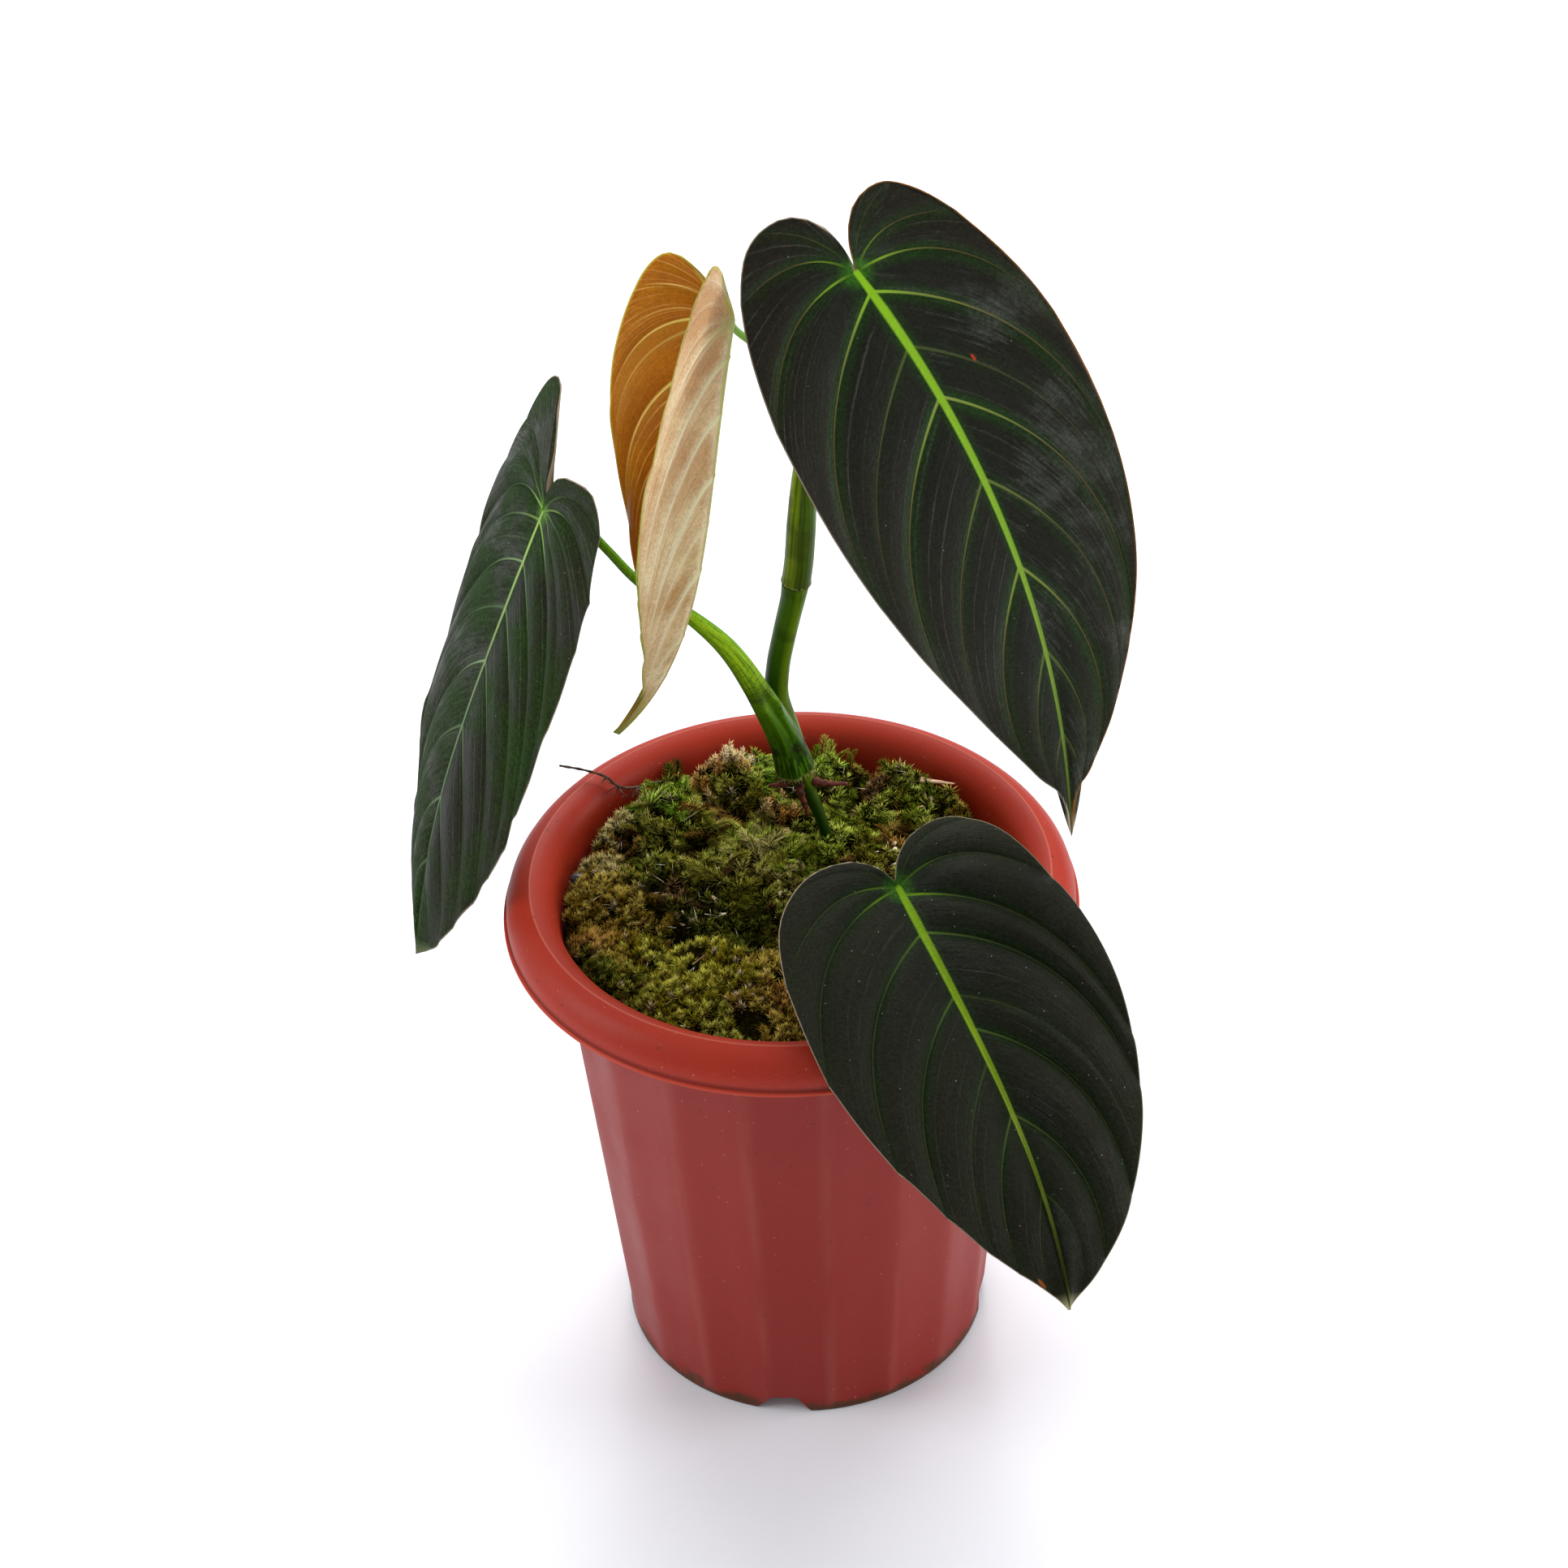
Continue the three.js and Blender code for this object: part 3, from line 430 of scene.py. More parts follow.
    # scuffs on the lip and the roll
    scratch_place = add(m, "Mapping", {0: place, 3: (1.0, 1.0, 7.0)})
    scratches = add(m, "TexNoise", {0: scratch_place, "Scale": 150.0, "Detail": 6.0, "Roughness": 0.75})
    on_rim = add(m, "MapRange", {0: radius, 1: 86.0, 2: 89.5})
    scuff = add(m, "MapRange", {0: scratches, 1: 0.62, 2: 0.7, 3: 0.0, 4: 0.45})
    scuff = add(m, "Math", {0: scuff, 1: on_rim}, operation="MULTIPLY")
    body = add(m, "Mix", {0: scuff, 6: body, 7: linear("#cf8875")}, out=2, data_type="RGBA")
    # painted highlight: the lip's projecting edge is drawn bright
    lip = add(m, "MapRange", {0: radius, 1: 89.2, 2: 89.6, 3: 0.0, 4: 0.7})
    body = add(m, "Mix", {0: lip, 6: body, 7: linear("#c8452c")}, out=2, data_type="RGBA")
    # painted shade: a dark line drawn in the groove above the lip
    groove = add(m, "MapRange", {0: height, 1: LIP_HEIGHT + 1.1, 2: LIP_HEIGHT + 1.5, 3: 0.0, 4: 1.0})
    groove_shade_top = add(m, "MapRange", {0: height, 1: LIP_HEIGHT + 2.2, 2: LIP_HEIGHT + 3.2, 3: 0.5, 4: 0.0})
    groove = add(m, "Math", {0: groove, 1: groove_shade_top}, operation="MULTIPLY")
    groove = add(m, "Math", {0: groove, 1: on_rim}, operation="MULTIPLY")
    body = add(m, "Mix", {0: groove, 6: body, 7: linear("#4a1710")}, out=2, data_type="RGBA")
    # dirt and a green film on the lowest few millimetres
    foot = add(m, "TexNoise", {0: place, "Scale": 150.0, "Detail": 6.0, "Roughness": 0.65})
    reach = add(m, "Math", {0: foot, 1: 15.0}, operation="MULTIPLY")
    low = add(m, "Math", {0: height, 1: reach}, operation="SUBTRACT")
    dirt = add(m, "MapRange", {0: low, 1: -2.5, 2: -5.5, 3: 0.0, 4: 0.85})
    body = add(m, "Mix", {0: dirt, 6: body, 7: linear("#3f3016")}, out=2, data_type="RGBA")
    rough = add(m, "MapRange", {0: cloud, 1: 0.3, 2: 0.7, 3: 0.4, 4: 0.54})
    bump = add(m, "Bump", {"Height": grain, "Strength": 0.2, "Distance": 0.0002})
    connect(m, base_color=body, roughness=rough, normal=bump)
    return m


class PotSettings(bpy.types.PropertyGroup):
    """Sizes and colours of the pot."""
    steps: bpy.props.IntProperty(name="Steps", description="Steps round the pot", default=360, min=72)
    body: bpy.props.StringProperty(name="Rim", description="Colour of the rim as sRGB hex", default="#ae3019")
    shade: bpy.props.StringProperty(name="Mottle", description="Colour of the mottling", default="#982817")
    # the wall's colour is the rim's red darkened as painted shade
    wall: bpy.props.StringProperty(name="Wall", description="Colour of the wall", default="#8f241a")


class PLANT_OT_pot(bpy.types.Operator):
    """Builds the fluted pot with its rolled rim, drain notches and drain holes"""
    bl_idname = "plant.pot"
    bl_label = "Pot"

    def execute(self, context):
        settings = context.scene.plant_pot
        bm = bmesh.new()
        spin_section(bm, pot_section(), settings.steps)
        for corner in bm.verts:
            x, y, z = corner.co
            radius = math.hypot(x, y)
            if radius > outer_wall(z) - 0.05 and z < LIP_HEIGHT:
                kept = 1 - flute_at(math.atan2(y, x), z) / radius
                corner.co = (x * kept, y * kept, z)
        blank = cutter_object(bm, "pot_blank")
        cutters = pot_cutters()
        cut = blank.modifiers.new("drains", "BOOLEAN")
        cut.operation = "DIFFERENCE"
        cut.solver = "EXACT"
        cut.object = cutters
        bpy.context.view_layer.update()
        shaped = blank.evaluated_get(bpy.context.evaluated_depsgraph_get()).to_mesh()
        bm = bmesh.new()
        bm.from_mesh(shaped)
        for helper in (blank, cutters):
            bpy.data.meshes.remove(helper.data)
        finish = pot_material(settings)
        piece = finish_piece(bm, "pot_shell", ["pot"], [finish])
        piece.data.set_sharp_from_angle(angle=math.radians(38))
        return {"FINISHED"}


# Blades

def margin_line(blade, side):
    """One half of the margin, flat and in millimetres, numbered evenly along its length."""
    half = blade["right"] if side > 0 else blade["left"]
    points = []
    for i, (across, along) in enumerate(blade["outline"]):
        in_lobe = 0 if i == 0 else min(max(-along / LOBE_DEPTH, 0), 1)
        x = across + half["shift"] * in_lobe * (1 - across)
        y = along * half["lobe"] if i > 0 and along < 0 else along
        points.append((side * x * half["width"], y * blade["length"]))
    points = np.array([points[0], *points, points[-1]])
    place = np.linspace(0, len(points) - 3, 401)
    i = np.minimum(place.astype(int), len(points) - 4)
    t = (place - i)[:, None]
    before, here, after, beyond = (points[i + k] for k in range(4))
    start, stop = (after - before) / 2, (beyond - here) / 2
    cubic = (2 * here - 2 * after + start + stop) * t ** 3
    line = cubic + (3 * after - 3 * here - 2 * start - stop) * t ** 2 + start * t + here
    length = np.concatenate([[0], np.cumsum(np.hypot(*np.diff(line, axis=0).T))])
    return length / length[-1], line


def vein_points(blade, margin, side, rows, reach):
    """Where the side veins of these rows have got to, in the flat leaf."""
    shares, line = margin
    beyond = np.maximum(0, (rows - FAN_SHARE) / (1 - FAN_SHARE))
    past_fan = 1 - (1 - FAN_REACH) * (1 - beyond) ** SWEEP
    share = np.where(rows < FAN_SHARE, FAN_REACH * rows / FAN_SHARE, past_fan)
    start = np.stack([0 * beyond, beyond * blade["length"]], -1)
    end = np.stack([np.interp(share, shares, line[:, 0]), np.interp(share, shares, line[:, 1])], -1)
    chord = end - start
    angle = np.arctan2(side * chord[:, 0], chord[:, 1])
    near_tip = np.clip((share - TIP_TURN_START) / (1 - TIP_TURN_START), 0, 1)
    widest = np.radians(VEIN_TURN) * np.minimum(1, share / FULL_TURN_SHARE) * (1 - (1 - TIP_TURN) * near_tip)
    turned = angle + np.minimum(widest, np.maximum(np.radians(WIDEST_VEIN) - angle, 0))
    towards = np.stack([side * np.sin(turned), np.cos(turned)], -1)
    control = start + towards * (VEIN_REACH * np.hypot(*chord.T))[:, None]
    u = reach[:, None]
    return (1 - u) ** 2 * start + 2 * u * (1 - u) * control + u * u * end


def distance_to_line(points, line):
    """How far flat points lie from a line of points."""
    a, b = line[:-1], line[1:]
    ab = b - a
    ap = points[:, None] - a[None]
    t = np.clip((ap * ab).sum(-1) / np.maximum((ab ** 2).sum(-1), 1e-9), 0, 1)
    return np.sqrt(((ap - t[..., None] * ab) ** 2).sum(-1).min(1))


def blade_pose(blade):
    """Turns a blade that is worked out flat, with its tip along y, and puts it on the end of its petiole."""
    turn = (
        Matrix.Rotation(math.radians(blade["heading"]), 4, "Z")
        @ Matrix.Rotation(math.radians(blade["tilt"]), 4, "X")
        @ Matrix.Rotation(math.radians(blade["lean"]), 4, "Y")
    )
    hanging = Matrix(((-1, 0, 0, 0), (0, 0, -1, 0), (0, -1, 0, 0), (0, 0, 0, 1)))
    return Matrix.Translation(blade["place"]) @ turn @ hanging


def direction(sway, bend):
    """The way a leaf runs that has turned by these angles, sideways and upwards."""
    return np.stack([np.sin(sway) * np.cos(bend), np.cos(sway) * np.cos(bend), np.sin(bend)], -1)


# What a blade's corners keep for its material. Vein, edge and hub are millimetres to the nearest side vein,
# the margin and the top of the petiole, and rib is the distance to the midrib over the midrib's width.
# Strength is the nearest vein's. Row, reach and along are shares of the margin, of a vein and of the length.
MEASURES = ("vein", "strength", "rib", "reach", "row", "along", "edge", "hub")


def blade_side(blade, side, rows, reach, face):
    """Places and measures of points on one half of one face of a blade, before the blade is posed."""
    half = blade["right"] if side > 0 else blade["left"]
    margin = margin_line(blade, side)
    flat = vein_points(blade, margin, side, rows, reach)
    across = side * flat[:, 0]
    along = flat[:, 1] / blade["length"]
    ahead = np.maximum(along, 0)
    even_bend = blade["bend"] * along + blade["lobe_bend"] * np.minimum(along, 0)
    bend = np.radians(even_bend + blade["tip_bend"] * ahead ** 3)
    mean_bend = np.radians(even_bend / 2 + blade["tip_bend"] * ahead ** 3 / 4)
    sway = np.radians(blade["sway"] * along + blade["tip_sway"] * ahead ** 3)
    mean_sway = np.radians(blade["sway"] * along / 2 + blade["tip_sway"] * ahead ** 3 / 4)
    forward = direction(sway, bend)
    up = direction(sway, bend + np.pi / 2)
    sideways = np.cross(forward, up)
    rise = half["fold"] + blade["opening"] * along + side * blade["twist"] * along
    curl = half["curl"] * across / half["width"]
    mean_slope = np.radians(rise + curl / 2)
    slope = np.radians(rise + curl) * (1 - np.exp(-np.abs(across) / RIB_ROUND))
    place = direction(mean_sway, mean_bend) * flat[:, 1:]
    place = place + sideways * (side * across * np.cos(mean_slope))[:, None]
    place = place + up * (across * np.sin(mean_slope))[:, None]
    outward = up * np.cos(slope)[:, None] - sideways * (side * np.sin(slope))[:, None]

    # distances in the flat leaf, in millimetres
    every = np.linspace(0, 1, VEIN_STEPS)
    vein = np.full(len(flat), FAR)
    strength = np.zeros(len(flat))
    valley = np.zeros(len(flat))
    for row, on_right, on_left in blade["veins"]:
        strong = on_right if side > 0 else on_left
        if not strong:
            continue
        line = vein_points(blade, margin, side, np.full(VEIN_STEPS, row), every)
        away = distance_to_line(flat, line)
        strength = np.where(away < vein, strong, strength)
        vein = np.minimum(vein, away)
        valley = np.maximum(valley, strong * np.exp(-away / QUILT_WIDTH))
    hub = np.hypot(*flat.T)
    rib = np.where(along > 0, np.abs(across), hub)
    edge = distance_to_line(flat, margin[1])
    # the midrib is widest a little way up the blade
    swelling = 0.55 + 0.45 * np.clip(ahead / 0.07, 0, 1)
    rib_share = rib / (blade["rib"] * swelling * np.maximum(1 - ahead, 0) ** RIB_TAPER + blade["rib_end"])

    fade = (1 - np.exp(-6 * reach)) * (1 - 0.6 * reach ** 2)
    quilt = (1 - np.maximum(valley, np.exp(-hub / HUB_WIDTH))) * fade * half.get("quilt", 1)
    waves = WAVES_RIGHT if side > 0 else WAVES_LEFT
    wave = WAVE_HEIGHT * np.sin(2 * np.pi * rows * waves) * reach ** 3
    ruffle = blade["ruffle"] * np.sin(2 * np.pi * rows * RUFFLES + side) * reach ** 7
    wave = wave + ruffle * np.clip((rows - 0.25) * 4, 0, 1) * (1 - rows ** 5)
    keel = np.exp(-((across / KEEL_WIDTH) ** 2)) * (1 - 0.8 * ahead)
    groove = strength * np.exp(-((vein / GROOVE_WIDTH) ** 2)) * np.minimum(1, edge / 6)
    thick = SHEET_THICKNESS / 2 * np.sqrt(np.maximum(0, 1 - reach ** 12))
    if face > 0:
        lift = thick + KEEL_RISE * keel + RIB_RISE * np.exp(-rib_share ** 2) - GROOVE_DEPTH * groove
    else:
        lift = -thick - KEEL_HEIGHT * keel - UNDER_GROOVE_DEPTH * groove * (1 - 0.7 * reach)
    lift = np.where(reach > 0.999, 0, lift)
    place = place + outward * (blade["pleat"] * (blade["quilt"] * quilt + wave) + lift)[:, None]
    measures = {
        "vein": vein, "strength": strength, "rib": rib_share, "reach": reach,
        "row": rows + (0 if side > 0 else 2), "along": along, "edge": edge, "hub": hub,
    }
    return place, measures


def blade_face(bm, blade, face, layers):
    """Adds one face of a blade: a grid whose rows follow the veins."""
    starts = np.array([0, *(row for row, _, _ in blade["veins"]), 1])
    gaps = len(starts) - 1
    in_gap = len(GAP_SHARES)
    made = bmesh.ops.create_grid(bm, x_segments=COLUMNS, y_segments=gaps * in_gap, size=1)["verts"]
    x = np.array([corner.co.x for corner in made])
    step = np.rint((np.array([corner.co.y for corner in made]) + 1) / 2 * gaps * in_gap).astype(int)
    gap = np.minimum(step // in_gap, gaps - 1)
    between = np.where(step == gaps * in_gap, 1.0, GAP_SHARES[step % in_gap])
    rows = starts[gap] + (starts[gap + 1] - starts[gap]) * between
    # the columns are closest at the midrib and at the margin
    reach = np.abs(np.round(x, 6))
    reach = reach ** 1.25 + 0.8 * reach ** 8 * (1 - reach)
    pose = np.array(blade_pose(blade))
    for side in (1, -1):
        chosen = np.flatnonzero(x >= -1e-6) if side > 0 else np.flatnonzero(x < -1e-6)
        place, measures = blade_side(blade, side, rows[chosen], reach[chosen], face)
        place = place @ pose[:3, :3].T + pose[:3, 3]
        for n, i in enumerate(chosen):
            corner = made[i]
            corner.co = place[n]
            for key, layer in layers.items():
                corner[layer] = measures[key][n]
    if face < 0:
        for corner in made:
            for around in corner.link_faces:
                around.material_index = 1


def blade_mesh(blade):
    """Both faces of a blade, joined at the margin."""
    bm = bmesh.new()
    layers = {key: bm.verts.layers.float.new(key) for key in MEASURES}
    for face in (1, -1):
        blade_face(bm, blade, face, layers)
    bmesh.ops.remove_doubles(bm, verts=bm.verts, dist=0.004)
    bmesh.ops.dissolve_degenerate(bm, edges=bm.edges, dist=0.001)
    bmesh.ops.recalc_face_normals(bm, faces=bm.faces)
    return bm


def leaf_material(name, look):
    """Living leaf: a soft satin sheet with fine papillae, which give it the dull grain and the pale sheen of
    velvet. The veins are smoother and paler, and the tissue beside them is greener than between them."""
    m = new_material(
        name, ior=1.42, specular_ior_level=look["gloss"], specular_tint=linear(look["gloss_tint"]),
        sheen_weight=look["sheen"], sheen_roughness=0.35,
        sheen_tint=linear(look["sheen_tint"]), subsurface_weight=look["glow"], subsurface_scale=0.004,
    )
    read = {key: add(m, "Attribute", out=2, attribute_name=key) for key in MEASURES}
    at = add(m, "TexCoord", out=3)
    cloud = add(m, "TexNoise", {0: at, "Scale": 38.0, "Detail": 5.0, "Roughness": 0.62})
    patch = add(m, "MapRange", {0: cloud, 1: 0.38, 2: 0.62})
    # papillae are some 0.05 mm wide, too fine to show, so their grain is drawn up to 1 mm wide
    nap = add(m, "TexNoise", {0: at, "Scale": 1000.0, "Detail": 3.0, "Roughness": 0.75})
    # streaks drawn out along the veins
    streak_row = add(m, "Math", {0: read["row"], 1: 260.0}, operation="MULTIPLY")
    streak_reach = add(m, "Math", {0: read["reach"], 1: 7.0}, operation="MULTIPLY")
    streak_at = add(m, "CombineXYZ", {0: streak_row, 1: streak_reach})
    streaks = add(m, "TexNoise", {0: streak_at, "Scale": 1.0, "Detail": 3.0, "Roughness": 0.65})

    outer = add(m, "MapRange", {0: read["reach"], 1: 0.2, 2: 1.0, 3: 0.15, 4: 1.0})
    tint = add(m, "MapRange", {0: streaks, 1: 0.35, 2: 0.7})
    tint = add(m, "Math", {0: tint, 1: outer}, operation="MULTIPLY")
    base = add(m, "Mix", {0: patch, 6: linear(look["deep"]), 7: linear(look["mid"])}, out=2, data_type="RGBA")
    base = add(m, "Mix", {0: tint, 6: base, 7: linear(look["brown"])}, out=2, data_type="RGBA")

    # greener beside the veins, most of all round the top of the petiole
    beside = add(
        m, "MapRange", {0: read["vein"], 1: 0.3, 2: look["halo_width"], 3: 1.0, 4: 0.0},
        interpolation_type="SMOOTHSTEP",
    )
    beside = add(m, "Math", {0: beside, 1: read["strength"]}, operation="MULTIPLY")
    inner = add(m, "MapRange", {0: read["reach"], 1: 0.0, 2: 1.0, 3: 1.0, 4: 0.3})
    beside = add(m, "Math", {0: beside, 1: inner}, operation="MULTIPLY")
    by_rib = add(
        m, "MapRange", {0: read["rib"], 1: 0.9, 2: 3.4, 3: 0.8, 4: 0.0}, interpolation_type="SMOOTHSTEP",
    )
    halo = add(m, "Math", {0: beside, 1: by_rib}, operation="MAXIMUM")
    halo = add(m, "Math", {0: halo, 1: look["halo"]}, operation="MULTIPLY")
    halo_noise = add(m, "MapRange", {0: cloud, 1: 0.3, 2: 0.65, 3: 0.45, 4: 1.15})
    halo = add(m, "Math", {0: halo, 1: halo_noise}, operation="MULTIPLY")
    base = add(m, "Mix", {0: halo, 6: base, 7: linear(look["green"])}, out=2, data_type="RGBA")
    at_hub = add(
        m, "MapRange", {0: read["hub"], 1: 1.0, 2: 6.5, 3: 0.8, 4: 0.0}, interpolation_type="SMOOTHSTEP",
    )
    base = add(m, "Mix", {0: at_hub, 6: base, 7: linear(look["hub"])}, out=2, data_type="RGBA")

    # fine veins between the main ones, 1 to 5 mm apart and each of its own strength
    count = add(m, "Math", {0: read["row"], 1: look["fine_count"]}, operation="MULTIPLY")
    wander = add(m, "Math", {0: cloud, 1: 0.5, 2: 0.0}, operation="MULTIPLY_ADD")
    count = add(m, "Math", {0: count, 1: wander}, operation="ADD")
    number = add(m, "Math", {0: count}, operation="FLOOR")
    each = add(m, "TexWhiteNoise", {1: number}, noise_dimensions="1D")
    place = add(m, "Math", {0: count}, operation="FRACT")
    place = add(m, "Math", {0: place, 1: 0.5}, operation="SUBTRACT")
    place = add(m, "Math", {0: place}, operation="ABSOLUTE")
    fine = add(
        m, "MapRange", {0: place, 1: 0.03, 2: look["fine_width"], 3: 1.0, 4: 0.0},
        interpolation_type="SMOOTHSTEP",
    )
    weight = add(m, "MapRange", {0: each, 1: 0.2, 2: 1.0, 3: 0.1, 4: 1.0})
    broken = add(m, "TexNoise", {0: at, "Scale": 110.0, "Detail": 2.0})
    broken = add(m, "MapRange", {0: broken, 1: 0.35, 2: 0.6, 3: 0.3, 4: 1.0})
    clear = add(m, "MapRange", {0: read["rib"], 1: 1.0, 2: 5.0, 3: 0.0, 4: 1.0})
    fine = add(m, "Math", {0: fine, 1: weight}, operation="MULTIPLY")
    fine = add(m, "Math", {0: fine, 1: broken}, operation="MULTIPLY")
    fine = add(m, "Math", {0: fine, 1: clear}, operation="MULTIPLY")
    fine_share = add(m, "Math", {0: fine, 1: look["fine"]}, operation="MULTIPLY")
    base = add(m, "Mix", {0: fine_share, 6: base, 7: linear(look["fine_color"])}, out=2, data_type="RGBA")

    # painted sheen: where the papillae lie flat the sheet is drawn greyer, standing in for its satin
    # reflection, more so on one half
    satin = add(m, "Math", {0: cloud, 1: 1.6, 2: streaks}, operation="MULTIPLY_ADD")
    on_left = add(m, "Math", {0: read["row"], 1: 1.5}, operation="GREATER_THAN")
    most = add(m, "MapRange", {0: on_left, 3: look["flattened"], 4: look["painted_sheen_share_left"]})
    flat = add(m, "MapRange", {0: satin, 1: 1.32, 2: 1.0, 4: most})
    base = add(m, "Mix", {0: flat, 6: base, 7: linear(look["painted_sheen_color"])}, out=2, data_type="RGBA")

    # the grain of the papillae
    nap_value = add(m, "MapRange", {0: nap, 1: 0.3, 2: 0.7, 3: 1 - look["grain"], 4: 1 + look["grain"]})
    base = add(m, "Mix", {0: 1.0, 6: base, 7: nap_value}, out=2, data_type="RGBA", blend_type="MULTIPLY")

    # main veins, thinner and browner towards the margin
    half_width = add(m, "MapRange", {0: read["reach"], 1: 0.0, 2: 1.0, 3: look["vein_width"], 4: 0.13})
    root = add(m, "MapRange", {0: read["reach"], 1: 0.0, 2: 0.3, 3: 0.22, 4: 0.0})
    half_width = add(m, "Math", {0: half_width, 1: root}, operation="ADD")
    thin = add(m, "Math", {0: read["vein"], 1: half_width}, operation="DIVIDE")
    line = add(m, "MapRange", {0: thin, 1: 0.4, 2: 1.5, 3: 1.0, 4: 0.0}, interpolation_type="SMOOTHSTEP")
    line = add(m, "Math", {0: line, 1: read["strength"]}, operation="MULTIPLY")
    ends = add(m, "MapRange", {0: read["edge"], 1: 1.0, 2: 8.0})
    line = add(m, "Math", {0: line, 1: ends}, operation="MULTIPLY")
    vein_fade = add(m, "MapRange", {0: read["reach"], 1: 0.05, 2: 0.8, 3: 1.0, 4: look["vein_end"]})
    line = add(m, "Math", {0: line, 1: vein_fade}, operation="MULTIPLY")
    outward = add(m, "MapRange", {0: read["reach"], 1: 0.0, 2: 0.5}, interpolation_type="SMOOTHSTEP")
    vein_color = add(
        m, "Mix", {0: outward, 6: linear(look["vein"]), 7: linear(look["vein_outer"])}, out=2,
        data_type="RGBA",
    )
    by_hub = add(
        m, "MapRange", {0: read["hub"], 1: 4.0, 2: 20.0, 3: 0.8, 4: 0.0}, interpolation_type="SMOOTHSTEP",
    )
    vein_color = add(m, "Mix", {0: by_hub, 6: vein_color, 7: linear(look["rib"])}, out=2, data_type="RGBA")
    base = add(m, "Mix", {0: line, 6: base, 7: vein_color}, out=2, data_type="RGBA")

    # midrib, softer at its sides
    rib = add(
        m, "MapRange", {0: read["rib"], 1: 0.6, 2: 1.25, 3: 1.0, 4: 0.0}, interpolation_type="SMOOTHSTEP",
    )
    rib_color = add(m, "ValToRGB", {0: read["along"]}, stops=(
        (0.0, look["rib"]), (1.0, look["rib_tip"]), (0.45, look["rib_middle"]),
    ))
    fiber = add(m, "MapRange", {0: streaks, 1: 0.3, 2: 0.7, 3: 0.82, 4: 1.08})
    rib_color = add(
        m, "Mix", {0: 1.0, 6: rib_color, 7: fiber}, out=2, data_type="RGBA", blend_type="MULTIPLY",
    )
    base = add(m, "Mix", {0: rib, 6: base, 7: rib_color}, out=2, data_type="RGBA")

    # margin and drip tip. The pale margin line is the leaf's own; where the two halves' margins differ in
    # colour, the difference is painted backlight through the margin
    rim = add(m, "MapRange", {0: read["edge"], 1: 0.1, 2: look["edge_width"], 3: 0.85, 4: 0.0})
    edge_color = add(
        m, "Mix", {0: on_left, 6: linear(look["edge"]), 7: linear(look["edge_left"])}, out=2,
        data_type="RGBA",
    )
    base = add(m, "Mix", {0: rim, 6: base, 7: edge_color}, out=2, data_type="RGBA")
    tip = add(m, "MapRange", {0: read["along"], 1: look["tip_start"], 2: 0.995, 3: 0.0, 4: 0.9})
    base = add(m, "Mix", {0: tip, 6: base, 7: linear(look["tip"])}, out=2, data_type="RGBA")

    # one old wound or burn, at its row and reach
    row, reach, size, color = look["spot"]
    off_row = add(m, "Math", {0: read["row"], 1: row}, operation="SUBTRACT")
    off_reach = add(m, "Math", {0: read["reach"], 1: reach}, operation="SUBTRACT")
    off = add(m, "CombineXYZ", {0: off_row, 1: off_reach})
    off = add(m, "VectorMath", {0: off, 1: size}, operation="DIVIDE")
    off = add(m, "VectorMath", {0: off}, out=1, operation="LENGTH")
    off = add(m, "Math", {0: cloud, 1: 0.8, 2: off}, operation="MULTIPLY_ADD")
    spot = add(m, "MapRange", {0: off, 1: 1.5, 2: 1.2, 3: 0.0, 4: 0.9})
    base = add(m, "Mix", {0: spot, 6: base, 7: linear(color)}, out=2, data_type="RGBA")

    # grains of dust up to 0.4 mm wide
    dust = add(m, "TexVoronoi", {0: at, "Scale": 480.0})
    pick = add(m, "SeparateColor", {0: dust.node.outputs[1]})
    few = add(m, "Math", {0: pick, 1: look["dust"]}, operation="GREATER_THAN")
    dot = add(m, "MapRange", {0: dust, 1: 0.1, 2: 0.03, 3: 0.0, 4: 0.7})
    dot = add(m, "Math", {0: dot, 1: few}, operation="MULTIPLY")
    base = add(m, "Mix", {0: dot, 6: base, 7: linear("#c9cbb8")}, out=2, data_type="RGBA")

    # veins and midrib shine evenly, and the sheet more where it is flattened
    smooth = add(m, "Math", {0: line, 1: rib}, operation="MAXIMUM")
    least, most = look["roughness"] - 0.12, look["roughness"] + 0.14
    satin = add(m, "MapRange", {0: satin, 1: 1.15, 2: 1.45, 3: least, 4: most})
    rough = add(m, "Mix", {0: smooth, 2: satin, 3: 0.4}, data_type="FLOAT")
    relief = add(m, "Math", {0: streaks, 1: 0.45, 2: nap}, operation="MULTIPLY_ADD")
    relief = add(m, "Math", {0: relief, 1: fine}, operation="SUBTRACT")
    bump = add(m, "Bump", {"Height": relief, "Strength": look["bump"], "Distance": 0.0005})
    connect(m, base_color=base, roughness=rough, normal=bump)
    return m


# Colours are sRGB hex, widths are millimetres and the rest are shares. Dust is the share of places that stay
# clean, and a spot is its row, its reach, its size in both and its colour.
NO_SPOT = (9.0, 0.0, (1.0, 1.0, 1.0), "#000000")
# the flat colour and its two shares, one for each half, paint sheen into the base colour
DARK_LEAF = {
    "deep": "#0b0d08", "mid": "#1a1c14", "brown": "#291b10", "green": "#1c480c", "hub": "#3f8412",
    "halo": 0.75, "halo_width": 4.2, "fine": 0.5, "fine_count": 52.0, "fine_width": 0.1,
    "fine_color": "#565a4a", "vein": "#98ac4c", "vein_outer": "#80643a", "vein_width": 0.26,
    "vein_end": 0.55, "rib": "#a6e422", "rib_middle": "#9acb36", "rib_tip": "#8c9450", "edge": "#b8a890",
    "edge_left": "#b0701c", "edge_width": 0.5, "tip": "#cfc2a4", "tip_start": 0.955, "gloss": 0.32,
    "gloss_tint": "#e6e8d4", "sheen": 0.02, "sheen_tint": "#c5d0c8", "glow": 0.0, "roughness": 0.42,
    "bump": 0.55, "dust": 0.97, "spot": NO_SPOT, "grain": 0.6, "flattened": 0.1, "painted_sheen_share_left": 0.6,
    "painted_sheen_color": "#565a50",
}
